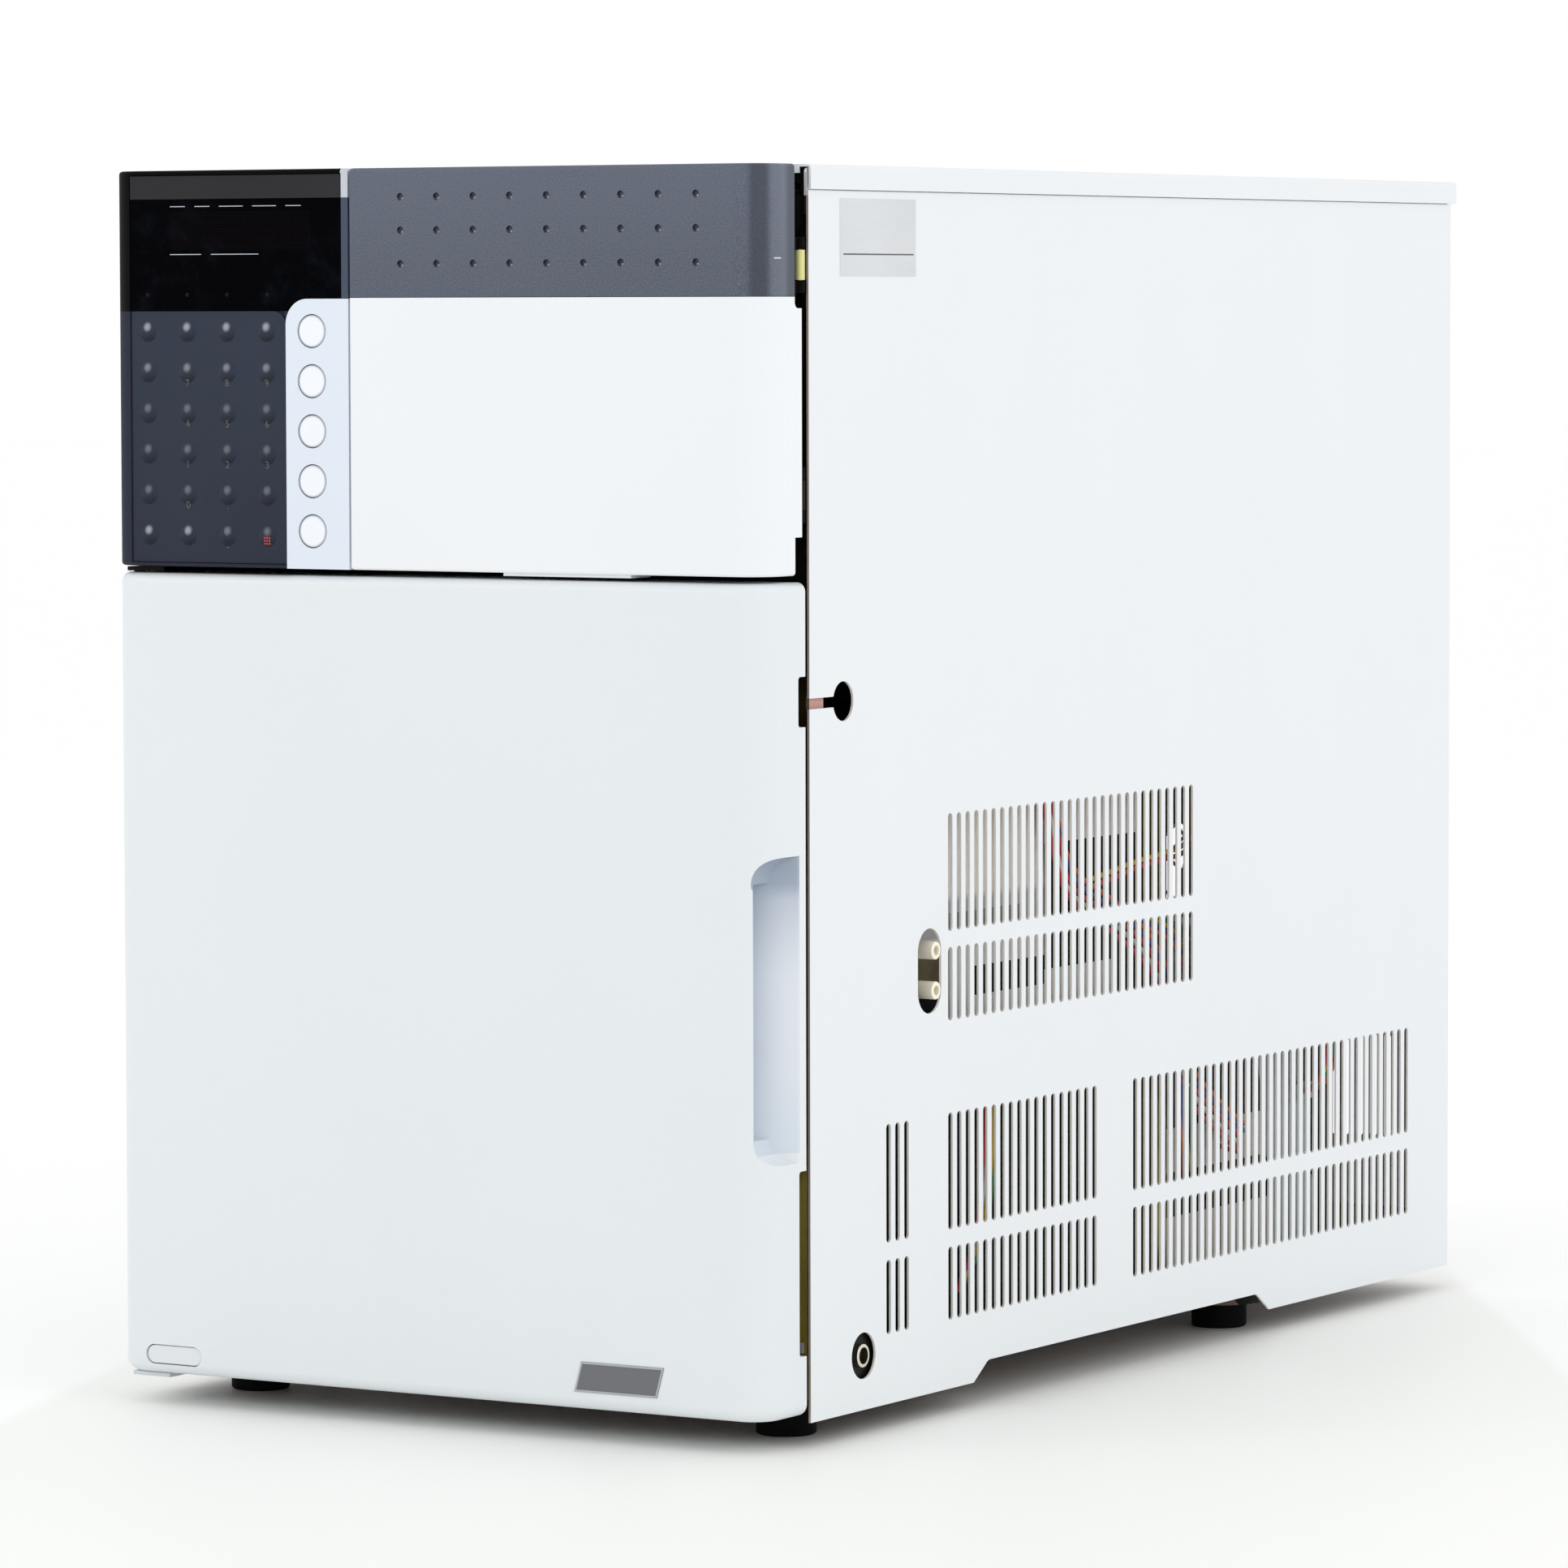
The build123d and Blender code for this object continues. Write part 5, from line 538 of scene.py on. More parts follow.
def cover_plastic(code):
    """The upper cover's white plastic, with painted black shade on its hinge knuckles behind the
    gap.
    """
    finish = moulded("cover_white", code, specular_ior_level=0.15)
    plain = finish.shown_colour
    above_face = finish.along("Z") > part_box("upper_cover_band")[0].z + 0.2 * mm
    above = above_face * finish.block(Y=(-231.3, far))
    below = finish.block(Y=(-226.75, far))
    # Painted shade: near black and matt on the hinge knuckles, where the gap shades them
    knuckle = finish.block(X=(122, far)) * finish.either(above, below)
    finish.colour(finish.mix(knuckle, plain, tint("030303")))
    finish.roughness(0.42 + 0.5 * knuckle)
    return finish


def insulation_facing():
    """Foil and grey board over the chamber's foam, with black openings, painted shade low on the
    foil's front part and a pink pad in front.
    """
    finish = Finish("insulation_facing", specular_ior_level=0.1)
    wrinkle = finish.noise(60, 4, rough=0.6)
    crease = finish.noise(24, 3, stretch=(1, 1, 0.25))
    cell = finish.noise(900, 2)
    stain = finish.slope(crease, 0.5, 0.7) * finish.block(Y=(-80, -58))
    foil = finish.mix(crease, tint("F3EEE4"), tint("FFFDF8"))
    foil = finish.mix(stain * 0.5, foil, tint("B7A27C"))
    painted_low_shade = finish.mix(wrinkle, tint("B4B4B6"), tint("CBCBCC"))
    board = finish.mix(wrinkle, tint("D6D5D2"), tint("EBEAE7"))
    foam = finish.mix(cell, tint("050405"), tint("0E0C0D"))
    drain_block = finish.mix(wrinkle, tint("3A3222"), tint("8A7F62"))
    pink = finish.mix(cell, tint("C79A90"), tint("DDB4A8"))

    # Below the foil, painted shade: grey, and darker still in a band near the bottom
    foil_share = finish.slope(finish.along("Z"), 168 * mm, 172 * mm)
    painted_shade_band = finish.block(Y=(-104, -55), Z=(157, 165))
    front_part = finish.mix(foil_share, painted_low_shade, foil)
    front_part = finish.mix(painted_shade_band * 0.7, front_part, tint("6E6A67"))
    front_part = finish.mix(finish.block(Z=(-far, 157)), front_part, board)
    rear_part = finish.mix(finish.block(Z=(141, 184.5)), board, foam)
    shown = finish.mix(finish.block(Y=(-far, -38)), rear_part, front_part)
    for opening in (
        {"Y": (-88, -37.9), "Z": (136, 146)},  # a window in the board
        {"Y": (14, far), "Z": (-far, 184.5)},  # low at the rear
        {"Z": (-far, 104)},  # below the chamber
        {"Y": (-214, -160), "Z": (222, 255)},  # behind the side's keyhole
        {"Y": (-160, -104), "Z": (-far, 137.5)},  # below the drain ends
    ):
        shown = finish.mix(finish.block(**opening), shown, foam)
    shown = finish.mix(finish.block(Y=(-160, -104), Z=(137.5, 152.5)), shown, drain_block)
    finish.colour(finish.mix(finish.block(X=(120, far)), shown, pink))
    finish.roughness(0.5 + 0.3 * wrinkle)
    finish.bump(wrinkle, 0.25 * mm)
    finish.bump(cell, 0.05 * mm)
    return finish


def supply_case():
    """The open supply: pale trays, painted shade in the space above and between them and at the
    rear, and a pale blue wrap at the back.
    """
    finish = moulded("supply_case", "E4E1DC", roughness=0.55, specular_ior_level=0.1)
    plain = finish.shown_colour
    wrap_front_y, wrap_rear_y, wrap_lean = 142 * mm, 176 * mm, 0.2
    stain = finish.noise(60, 4)
    # Painted shade: near black above and between the trays and at the rear
    dark = finish.mix(stain, tint("060505"), tint("131011"))
    above_trays = finish.either(finish.block(Z=(75, far)), finish.block(Z=(43, 59)))
    leaning = finish.along("Y") + (finish.along("Z") - 80 * mm) * wrap_lean
    rear_part = leaning > wrap_front_y
    wrap = finish.between(leaning, wrap_front_y, wrap_rear_y)
    shown = finish.mix(finish.either(above_trays, rear_part), plain, dark)
    blue = finish.mix(stain, tint("B9C8D0"), tint("D3DFE5"))
    finish.colour(finish.mix(wrap, shown, blue))
    return finish


def drain_moulding():
    """Cream drain ends on a dark brown block."""
    finish = moulded("drain_moulding", "F6F0DC", roughness=0.4)
    plain = finish.shown_colour
    nipple_length = 11.6 * mm
    block = finish.along("X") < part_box("drain_nipples")[1].x - nipple_length
    stain = finish.noise(150, 4, rough=0.65)
    brown = finish.mix(stain, tint("2E2A20"), tint("5C5442"))
    finish.colour(finish.mix(block, plain, brown))
    return finish


def pan_shade(finish):
    """Painted shade on the floor pan's corner behind the door's lower edge, and on its lips beside
    the hand holds.
    """
    lip_x = 118 * mm
    corner = finish.block(X=(125, far), Y=(-260, -175), Z=(-far, 45))
    return finish.either(corner, abs(finish.along("X")) > lip_x)


def pan_underside_shade(finish):
    """Painted shade: the floor pan's underside made dark brown-pink, which also tints the floor's
    shadow.
    """
    return finish.block(Z=(-far, 16.5)), "7A6660"


def hinge_shade(finish):
    """The shaded lower part of the upper cover's hinge."""
    return 1 - finish.slope(finish.along("Z"), 340 * mm, 362 * mm)


def upper_hinge_painted_light(finish):
    """Painted light: the top of the upper cover's hinge made paler where light falls on it."""
    return finish.slope(finish.along("Z"), 352 * mm, 366 * mm) * 0.8, "E6E4A0"


def bracket_shade(finish):
    """The door's upper hinge bracket, shaded in the gap under the console."""
    return finish.block(Z=(200, far))


def bracket_paint(finish):
    """The casing's paint over the foot of the door's lower hinge bracket."""
    return finish.block(Z=(-far, 30)), "D8DBDD"


def button_cap(code):
    """A round white button with a thin ring of painted grey shade where its edge turns away."""
    finish = moulded("button_white", code, roughness=0.3)
    plain = finish.shown_colour
    low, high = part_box("console_button_1")
    column = finish.along("X") - (low.x + high.x) / 2
    row = finish.from_nearest(finish.along("Z"), button_first_z, button_pitch)
    # Painted shade: grey on the rim where it turns from the light
    edge = finish.slope(finish.reach(column, row), 4.4 * mm, 5.35 * mm)
    finish.colour(finish.mix(edge * 0.8, plain, tint("A3A9B1")))
    return finish


def badge_metal():
    """The badge plate: a dark grey field inside a paler rim."""
    finish = moulded("badge_grey", "66686D", roughness=0.3)
    field = finish.shown_colour
    rim = finish.along("Y") < front_y - 0.24 * mm
    finish.colour(finish.mix(rim, field, tint("A9ACB1")))
    return finish


def table_top():
    """A very pale table top that ends behind the casing, with plain white beyond its edges."""
    finish = Finish("table_top")
    drift = finish.noise(3, 4)
    speck = finish.noise(400, 3)
    from_left, from_right = (
        (finish.along("X") - x * mm) * x_share + (finish.along("Y") - y * mm) * y_share
        for (x, y), (x_share, y_share) in (table_left, table_right))
    on_table = (finish.slope(from_left, 0, 12 * mm)
                * (1 - finish.slope(from_right, -6 * mm, 2 * mm)))
    top = finish.mix(drift * 0.7 + speck * 0.3, tint("F5F6F3"), tint("FAFBF8"))
    finish.colour(finish.mix(on_table, tint("FFFFFF"), top))
    finish.roughness(0.45 + 0.1 * drift)
    return finish


def circuit_board():
    """Solder mask with fine tracks and plated holes."""
    finish = Finish("circuit_board", coat_weight=0.3, coat_roughness=0.2)
    pitch, track_width, hole_width = 2.54 * mm, 0.32, 0.28
    across, height = finish.along("X"), finish.along("Z")
    wander = finish.noise(90, 1)
    tracks = finish.stripes(across + height, pitch, track_width) * (wander > 0.5)
    column = finish.stripes(across, pitch, hole_width)
    row = finish.stripes(height, pitch, hole_width)
    holes = column * row * (wander > 0.46)
    mask = finish.mix(tracks, tint("0E4A2C"), tint("1B6A41"))
    finish.colour(finish.mix(holes, mask, tint("B8A878")))
    finish.roughness(0.32 + 0.1 * wander)
    finish.bump(tracks + holes, 0.03 * mm)
    return finish


def clear_glass():
    """Tubular glass with faint draw lines."""
    finish = Finish("clear_glass", base_color=tint("EEF6F5"), transmission_weight=0.92, ior=1.5)
    lines = finish.noise(500, 2, stretch=(1, 1, 0.03))
    finish.roughness(0.02 + 0.05 * lines)
    finish.bump(lines, 0.01 * mm)
    return finish


def plate_foil():
    """A bare silver-grey rating plate with one dark rule across it."""
    finish = Finish("plate_foil", metallic=0.25)
    low_z, high_z = rating_z
    rule_z, rule_height = low_z + 0.285 * (high_z - low_z), 0.5 * mm
    rule = finish.between(finish.along("Z"), rule_z - rule_height / 2, rule_z + rule_height / 2)
    rule_ends = rating_y[0] + 2 * mm, rating_y[1] - 1.5 * mm
    inked = rule * finish.between(finish.along("Y"), *rule_ends)
    lines = finish.noise(1200, 2, stretch=(1, 0.05, 1))
    cloud = finish.noise(40, 3)
    foil = finish.mix(cloud * 0.6 + lines * 0.4, tint("CDD1D4"), tint("DDE1E4"))
    finish.colour(finish.mix(inked, foil, tint("5E5A57")))
    finish.roughness(0.38 + 0.14 * cloud)
    finish.bump(lines, 0.003 * mm)
    return finish


def insulated_wire(name, code):
    """Coloured wire insulation with a slight sheen and extrusion marks."""
    finish = Finish(name)
    marks = finish.noise(700, 2)
    finish.colour(finish.mix(marks, tint(code, 0.8), tint(code, 1.1)))
    finish.roughness(0.35 + 0.2 * marks)
    finish.bump(marks, 0.02 * mm)
    return finish


# Modelling by hand


def pick(*pieces):
    """Selects these pieces and nothing else, and makes the first of them the active one."""
    bpy.ops.object.select_all(action="DESELECT")
    for piece in pieces:
        piece.select_set(True)
    bpy.context.view_layer.objects.active = pieces[0]


def begin(add, **settings):
    """Adds a primitive with nothing else selected, and leaves it in edit mode at the origin."""
    bpy.ops.object.select_all(action="DESELECT")
    add(**settings)
    bpy.ops.object.transform_apply(location=True, rotation=True, scale=True)
    bpy.ops.object.mode_set(mode="EDIT")
    return bpy.context.active_object


def choose(kind, test):
    """In edit mode, selects the faces or edges that pass a test, and nothing else."""
    bpy.ops.mesh.select_mode(type={"faces": "FACE", "edges": "EDGE"}[kind])
    bpy.ops.mesh.select_all(action="DESELECT")
    mesh = bmesh.from_edit_mesh(bpy.context.active_object.data)
    for element in getattr(mesh, kind):
        if test(element):
            element.select_set(True)
    mesh.select_flush_mode()
    bmesh.update_edit_mesh(bpy.context.active_object.data)


def settle(piece, name, body, finish, angle=35):
    """Ends a piece's modelling: shading, name, finish and body."""
    if bpy.context.mode != "OBJECT":
        bpy.ops.object.mode_set(mode="OBJECT")
    pick(piece)
    bpy.ops.object.shade_smooth_by_angle(angle=radians(angle))
    piece.name = name
    piece.data.name = name
    piece.data.materials.clear()
    piece.data.materials.append(finish.material)
    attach(piece, body)
    return piece


def join(pieces):
    """Joins pieces into one mesh."""
    pick(*pieces)
    bpy.ops.object.join()
    return bpy.context.active_object


def tablet(low, high, rounding):
    """A block between two corners, with rounded edges, out of edit mode."""
    low, high = Vector(low), Vector(high)
    piece = begin(bpy.ops.mesh.primitive_cube_add, size=1,
                  location=(low + high) / 2, scale=high - low)
    bpy.ops.mesh.select_all(action="SELECT")
    bpy.ops.mesh.bevel(offset=rounding, offset_type="OFFSET", segments=2, affect="EDGES")
    bpy.ops.object.mode_set(mode="OBJECT")
    return piece


# Badge plate and rating plate, both bare
badge_left_x = 55.7 * mm
badge_width = 31.8 * mm
badge_lean = 2.7 * mm
badge_z = (16.7 * mm, 26.75 * mm)
badge_thickness = 0.3 * mm
badge_rim_width = 0.5 * mm
badge_step = (0.15 * mm, -0.12 * mm)
rating_y = (-202.7 * mm, -153.8 * mm)
rating_z = (379.1 * mm, 404.2 * mm)
rating_thickness = 0.2 * mm
rating_rounding = 0.08 * mm


def badge_plate(finish):
    """A small slanted plate with a fine raised rim, on the door's lower right corner."""
    centre = (badge_left_x + badge_width / 2, front_y, sum(badge_z) / 2)
    piece = begin(bpy.ops.mesh.primitive_cube_add, size=1, location=centre,
                  scale=(badge_width, 2 * badge_thickness, badge_z[1] - badge_z[0]))
    choose("faces", lambda face: face.normal.z > 0.9)
    bpy.ops.transform.translate(value=(badge_lean, 0, 0))
    choose("edges", lambda edge: all(vert.co.y < front_y for vert in edge.verts))
    bpy.ops.mesh.bevel(offset=badge_thickness / 2, segments=2, affect="EDGES")
    choose("faces", lambda face: face.normal.y < -0.99)
    step_width, step_height = badge_step
    bpy.ops.mesh.inset(thickness=badge_rim_width)
    bpy.ops.mesh.inset(thickness=step_width, depth=step_height)
    settle(piece, "badge_plate", "door", finish)


def rating_plate(finish):
    """A thin foil plate on the right side, below the lid."""
    side_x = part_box("right_side_panel")[1].x
    piece = tablet((side_x - rating_thickness, rating_y[0], rating_z[0]),
                   (side_x + rating_thickness, rating_y[1], rating_z[1]), rating_rounding)
    settle(piece, "rating_plate", chassis, finish)


# Printing and lamps on the console: each row's height, and its lines' ends in millimetres
caption_rows = (
    (403.0 * mm, ((-102.6, -96.5), (-92.6, -86.5), (-82.6, -73.0), (-69.2, -59.6), (-55.8, -49.7))),
    (387.1 * mm, ((-102.7, -90.0), (-86.0, -66.8))),
)
print_thickness = 0.04 * mm
print_rounding = 0.015 * mm
underline_height = 0.25 * mm
lamp_xs = (-111.9 * mm, -95.7 * mm, -79.6 * mm, -63.3 * mm)
lamp_z = 373.7 * mm
lamp_radius = 0.75 * mm
lamp_sink = 0.1 * mm
lamp_flatness = 0.35


def caption_lines(finish):
    """The white underlines printed on the screen's window."""
    face_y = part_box("display_window")[0].y
    lines = []
    for z, spans in caption_rows:
        for left, right in spans:
            lines.append(tablet(
                (left * mm, face_y - print_thickness, z - underline_height / 2),
                (right * mm, face_y + print_thickness, z + underline_height / 2), print_rounding))
    settle(join(lines), "caption_lines", chassis, finish)


def status_lamps(finish):
    """Four small lamp lenses in a row below the screen."""
    face_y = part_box("display_window")[0].y
    lamps = []
    for x in lamp_xs:
        middle = (x, face_y + lamp_sink, lamp_z)
        lamp = begin(bpy.ops.mesh.primitive_uv_sphere_add, segments=20, ring_count=12,
                     radius=lamp_radius, location=middle)
        bpy.ops.mesh.select_all(action="SELECT")
        bpy.ops.transform.resize(value=(1, lamp_flatness, 1), center_override=middle)
        bpy.ops.object.mode_set(mode="OBJECT")
        lamps.append(lamp)
    settle(join(lamps), "status_lamps", chassis, finish)


# Printing on the keys: each digit by its key's column and row
digits = {(1, 1): "7", (2, 1): "8", (3, 1): "9", (1, 2): "4", (2, 2): "5", (3, 2): "6",
          (1, 3): "1", (2, 3): "2", (3, 3): "3", (1, 4): "0", (2, 4): ".", (2, 5): "-"}
digit_drop = 3.7 * mm
digit_height = 3.4 * mm
dots_drop = 1.55 * mm
dot_pitch = 0.95 * mm
dot_size = 0.6 * mm
before_film = 1 * mm


def key_place(column, row):
    """The middle of a key dome, a little in front of the film."""
    return Vector((key_first_x + column * key_pitch_x,
                   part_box("keypad_membrane")[0].y - before_film,
                   key_first_z - row * key_pitch_z))


def lay_on_film(mark):
    """Lays a flat mark on the film and its domes, and gives it the thickness of print."""
    pick(mark)
    bpy.ops.object.mode_set(mode="EDIT")
    bpy.ops.mesh.select_all(action="SELECT")
    bpy.ops.mesh.quads_convert_to_tris()
    bpy.ops.mesh.subdivide(number_cuts=2)
    bpy.ops.object.mode_set(mode="OBJECT")
    laid = mark.modifiers.new("laid", "SHRINKWRAP")
    laid.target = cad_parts["keypad_membrane"]
    laid.wrap_method = "PROJECT"
    laid.use_project_y = True
    laid.use_negative_direction = True
    laid.use_positive_direction = True
    laid.offset = print_thickness
    bpy.ops.object.modifier_apply(modifier=laid.name)
    thick = mark.modifiers.new("thick", "SOLIDIFY")
    thick.thickness = print_thickness
    thick.offset = 0
    bpy.ops.object.modifier_apply(modifier=thick.name)
    return mark


def key_digits(finish):
    """Plain digits printed on the lower half of the number keys."""
    marks = []
    for (column, row), digit in digits.items():
        bpy.ops.object.select_all(action="DESELECT")
        bpy.ops.object.text_add(location=key_place(column, row) - Vector((0, 0, digit_drop)),
                                rotation=(pi / 2, 0, 0))
        text = bpy.context.active_object
        text.data.body = digit
        text.data.size = digit_height
        text.data.align_x = "CENTER"
        text.data.align_y = "CENTER"
        bpy.ops.object.convert(target="MESH")
        bpy.ops.object.transform_apply(location=True, rotation=True, scale=True)
        marks.append(lay_on_film(bpy.context.active_object))
    settle(join(marks), "key_digits", chassis, finish)


def key_dots(finish):
    """The small red three-by-three mark on the last key."""
    centre = key_place(3, 5) - Vector((0, 0, dots_drop))
    dots = []
    for column in (-1, 0, 1):
        for row in (-1, 0, 1):
            place = centre + Vector((column, 0, row)) * dot_pitch
            dot = begin(bpy.ops.mesh.primitive_plane_add, size=dot_size, location=place,
                        rotation=(pi / 2, 0, 0))
            bpy.ops.object.mode_set(mode="OBJECT")
            dots.append(lay_on_film(dot))
    settle(join(dots), "key_dots", chassis, finish)


# Loose wires that stand for the looms, beside the right side and behind the console. Each group has
# its wires' colours, the way they lie side by side, the way they sway and their route, all in
# millimetres.
wire_groups = {
    "supply": (
        ("red", "white", "red", "blue", "orange"), (0, 0.4, 1), (1, 0, 0),
        ((108, 100, 72), (118, 106, 67), (119, 84, 77), (118, 52, 97), (119, 46, 122),
         (118, 30, 144), (119, -4, 159), (118, -30, 169), (119, -40, 188), (118, -48, 209),
         (119, -84, 222), (118, -122, 246), (118, -126, 280), (118, -126, 338), (94, -127, 338))),
    "spare": (
        ("red", "yellow"), (0, 0.4, 1), (1, 0, 0),
        ((116, -20, 168), (118, 0, 171), (118, 18, 173.5), (119, 36, 175.5), (118, 56, 176.5),
         (114, 70, 182), (108, 76, 200))),
    "signal": (
        ("orange", "blue", "yellow", "green"), (0, 1, 0.5), (1, 0, 0),
        ((112, 70, 60), (118, 56, 72), (119, 52, 96), (118, 66, 126), (119, 50, 146),
         (118, 36, 152), (114, 14, 158))),
    "pump": (
        ("red", "white", "yellow", "green"), (0, 1, 0.5), (1, 0, 0),
        ((112, -96, 36), (118, -92, 52), (119, -88, 78), (118, -84, 96), (114, -80, 112))),
    "board": (
        ("red", "yellow", "green", "orange"), (0, 1, 0), (1, 0, 0),
        ((108, 169.9, 80), (118, 169.9, 82), (119, 169.9, 120), (118, 171.9, 220),
         (119, 170.9, 294), (112, 169.9, 299), (100, 169.9, 299))),
    "console": (
        ("grey", "grey", "grey", "grey"), (1, 0, 0), (0, 0, 1),
        ((-76.1, -238.4, 330), (-76.1, -222, 330), (-76.1, -205, 327), (-76.1, -150, 313),
         (-76.1, -90, 300), (-76.1, -60, 299))),
}
wire_radius = 0.9 * mm
wire_spacing = 2.4
sway_width = 0.8
sway_per_point, sway_per_wire = 2.1, 1.7


def wire(name, points, finish):
    """One wire along a smooth curve through its guiding points, in millimetres."""
    curve = bpy.data.curves.new(name, "CURVE")
    curve.dimensions = "3D"
    curve.bevel_depth = wire_radius
    curve.bevel_resolution = 3
    curve.resolution_u = 10
    spline = curve.splines.new("NURBS")
    spline.points.add(len(points) - 1)
    for point, place in zip(spline.points, points):
        point.co = (*(value * mm for value in place), 1)
    spline.order_u = 3
    spline.use_endpoint_u = True
    piece = bpy.data.objects.new(name, curve)
    bpy.context.collection.objects.link(piece)
    pick(piece)
    bpy.ops.object.convert(target="MESH")
    return settle(bpy.context.active_object, name, chassis, finish, angle=60)


def side_wires(colours):
    """Lays each group's wires side by side, swaying a little between their ends."""
    for label, (names, beside, swaying, route) in wire_groups.items():
        for index, name in enumerate(names):
            spread = (index - (len(names) - 1) / 2) * wire_spacing
            points = []
            for order, place in enumerate(route):
                at_end = order in (0, len(route) - 1)
                turn = sway_per_point * order + sway_per_wire * index
                sway = 0 if at_end else sway_width * sin(turn)
                points.append([value + sway * aside + spread * along
                               for value, aside, along in zip(place, swaying, beside)])
            wire(f"{label}_wire_{index + 1}", points, colours[name])
    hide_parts("wiring_looms")


# Studio

# Each soft box: its place, what it aims at, the side of its square in metres and its watts
soft_boxes = {
    "side_box": ((2.6, -0.6, 1.6), (0.1, 0, 0.2), 1.4, 8),
    "key_box": ((-1.6, -2.2, 1.1), (-0.09, -0.25, 0.33), 0.3, 4),
}
floor_side = 30

# The photograph's camera: its place, how it is turned, and its lens on a 36 mm frame
camera_place = (1.3801, -2.3205, 0.3702)
camera_yaw, camera_pitch, camera_roll = radians(31.0015), radians(3.6176), radians(-0.132)
camera_lens = 174.33
camera_frame = 36.0


def floor(finish):
    """A wide pale floor under the feet."""
    piece = begin(bpy.ops.mesh.primitive_plane_add, size=floor_side, location=(0, 0, 0))
    bpy.ops.mesh.subdivide(number_cuts=3)
    bpy.ops.object.mode_set(mode="OBJECT")
    piece.name = "floor"
    piece.data.materials.append(finish.material)


def lights():
    """A white room, a large soft box towards the right side and a small one towards the keys."""
    world = bpy.data.worlds.new("white_room")
    world.use_nodes = True
    room = world.node_tree.nodes["Background"]
    room.inputs["Color"].default_value = (1, 1, 1, 1)
    room.inputs["Strength"].default_value = 1.0
    bpy.context.scene.world = world
    for name, (place, aim, side, power) in soft_boxes.items():
        lamp = bpy.data.lights.new(name, "AREA")
        lamp.shape = "RECTANGLE"
        lamp.size = side
        lamp.size_y = side
        lamp.energy = power
        holder = bpy.data.objects.new(name, lamp)
        bpy.context.collection.objects.link(holder)
        holder.location = place
        holder.rotation_euler = (Vector(aim) - Vector(place)).to_track_quat("-Z", "Y").to_euler()


def camera():
    """The photograph's view: a long lens, low, from the front right."""
    forward = Vector((-sin(camera_yaw) * cos(camera_pitch), cos(camera_yaw) * cos(camera_pitch),
                      -sin(camera_pitch)))
    level = Vector((cos(camera_yaw), sin(camera_yaw), 0))
    upright = level.cross(forward)
    right = cos(camera_roll) * level + sin(camera_roll) * upright
    up = cos(camera_roll) * upright - sin(camera_roll) * level
    turn = Matrix((right, up, -forward)).transposed().to_4x4()
    lens = bpy.data.cameras.new("camera")
    lens.sensor_width = camera_frame
    lens.lens = camera_lens
    holder = bpy.data.objects.new("camera", lens)
    bpy.context.collection.objects.link(holder)
    holder.matrix_world = Matrix.Translation(camera_place) @ turn
    bpy.context.scene.camera = holder


def dress(finish, *nodes):
    """Gives CAD nodes their finish."""
    for name in nodes:
        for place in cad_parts[name].material_slots:
            place.link = "OBJECT"
            place.material = finish.material


camera()
lights()
bpy.context.scene.view_settings.view_transform = "Standard"

dress(painted_sheet("casing_paint", "E6EAED"), "top_cover", "rear_panel")
dress(side_paint("E6EAED"), "left_side_panel", "right_side_panel")
dress(zinc_plate("inner_zinc"), "inner_frame")
dress(zinc_plate("pan_zinc", dark=pan_shade, pale=pan_underside_shade), "base_pan")
dress(zinc_plate("hinge_zinc", dark=hinge_shade, pale=upper_hinge_painted_light), "upper_cover_hinges")
dress(zinc_plate("bracket_zinc", dark=bracket_shade, pale=bracket_paint), "door_hinge_brackets")
dress(frame_zinc(), "front_frame")
dress(door_plastic("E2E7EA"), "door_panel")
dress(cover_plastic("ECEFF2"), "upper_cover")
dress(band_plastic(), "upper_cover_band")
dress(console_shell(), "console_housing")
dress(moulded("strip_white", "DDE5F0"), "button_strip")
dress(button_cap("F0F3F8"), *[f"console_button_{index}" for index in range(1, 6)])
dress(key_film(), "keypad_membrane")
dress(screen_glass(), "display_window")
dress(moulded("power_cap", "E1E5E8", roughness=0.34), "power_button")
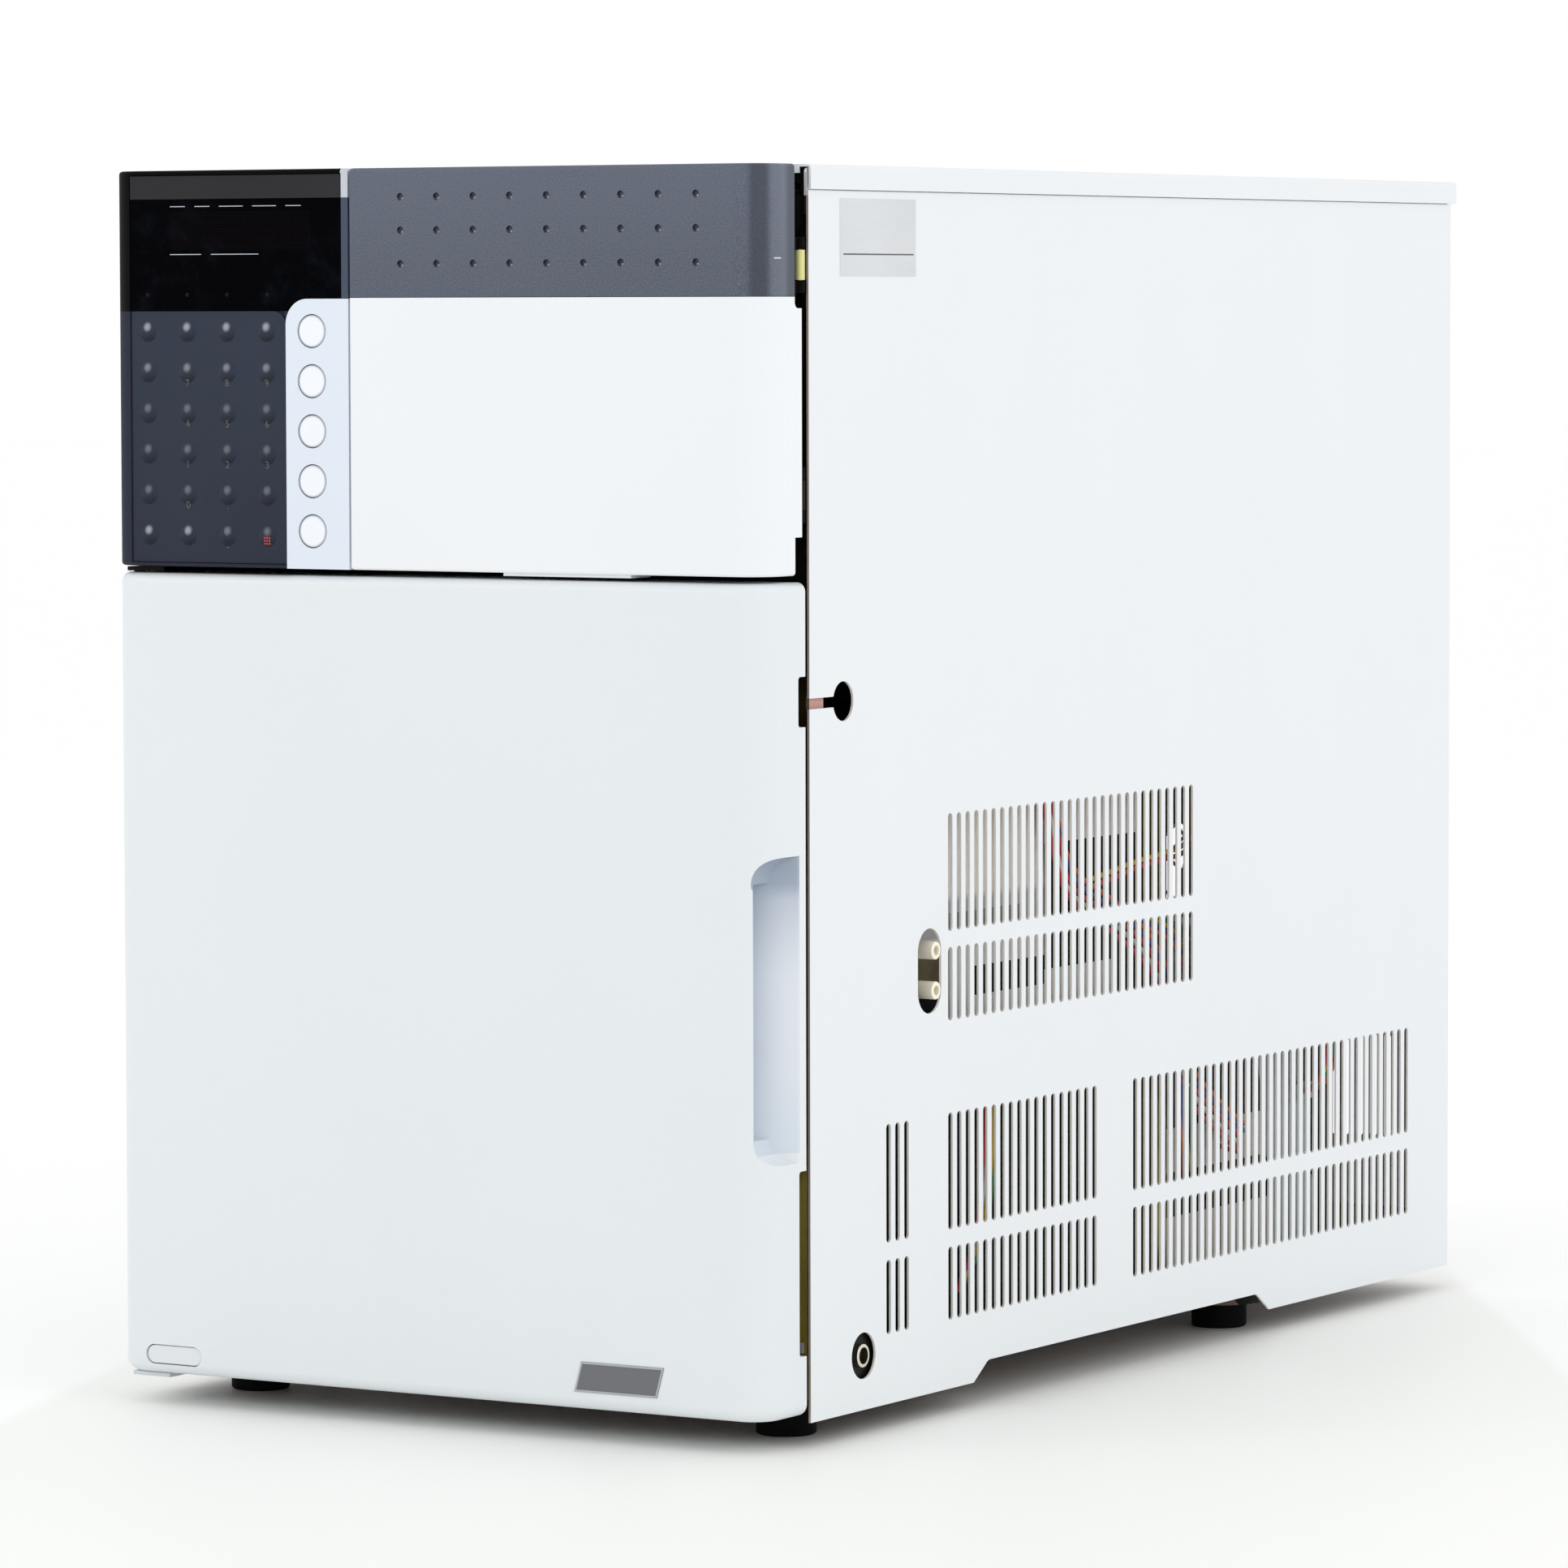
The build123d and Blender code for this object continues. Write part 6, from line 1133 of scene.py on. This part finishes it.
dress(moulded("liner_white", "EDEFEE", roughness=0.25), "chamber_liner", "door_liner")
dress(insulation_facing(), "chamber_insulation")
dress(rubber("feet_rubber", "080808"), "rubber_feet")
dress(rubber("gasket_rubber", "55565A", roughness=0.6), "door_gasket")
dress(moulded("catch_grey", "8B8D91"), "door_catch")
dress(moulded("rack_grey", "B9BEC6"), "vial_rack")
dress(moulded("port_grey", "D9D5CA"), "injection_port", "rinse_port")
dress(moulded("black_plastic", "1D1D1F", roughness=0.5),
      "fan_frame", "fan_rotor", "power_switch", "power_inlet")
dress(metal("polished_steel", "C9CACC", 0.16),
      "gantry_rails", "needle", "steel_tubing", "fan_guard")
dress(metal("screw_nickel", "C2C2BF", 0.24), "panel_screws")
dress(metal("valve_steel", "B4B5B8", 0.26, lay=(1, 0.05, 1)),
      "injection_valve", "valve_rotor", "measuring_pump", "pump_plunger")
dress(metal("anodised_aluminium", "C7C8CC", 0.34, lay=(0.05, 1, 1)),
      "cross_beam", "needle_carriage", "needle_arm", "heat_sink", "rack_tray")
dress(moulded("drive_black", "2B2B2E", roughness=0.38), "valve_drive", "pump_drive")
dress(supply_case(), "power_supply")
dress(metal("connector_plating", "AEB0B2", 0.4, lay=(1, 0.05, 1)), "signal_connectors")
dress(circuit_board(), "main_board", "console_board")
dress(clear_glass(), "sample_vials")
dress(moulded("cap_blue", "2C5A9E", roughness=0.35), "vial_caps")
dress(drain_moulding(), "drain_nipples")
dress(metal("nickel_ring", "E2DCCE", 0.2), "outlet_connector")

badge_plate(badge_metal())
rating_plate(plate_foil())
caption_lines(moulded("caption_grey", "C0C4CC"))
status_lamps(moulded("lamp_dark", "0C0A0A", roughness=0.3, specular_ior_level=0.1))
key_digits(moulded("digit_brown", "55504F"))
key_dots(moulded("dot_red", "B43A38"))
side_wires({colour: insulated_wire(f"wire_{colour}", code) for colour, code in {
    "red": "C8323A", "white": "DAD8D2", "blue": "2C4FA3", "yellow": "D9B62E",
    "green": "2C8A5A", "orange": "DD6B2C", "grey": "9A9B9E"}.items()})
floor(table_top())
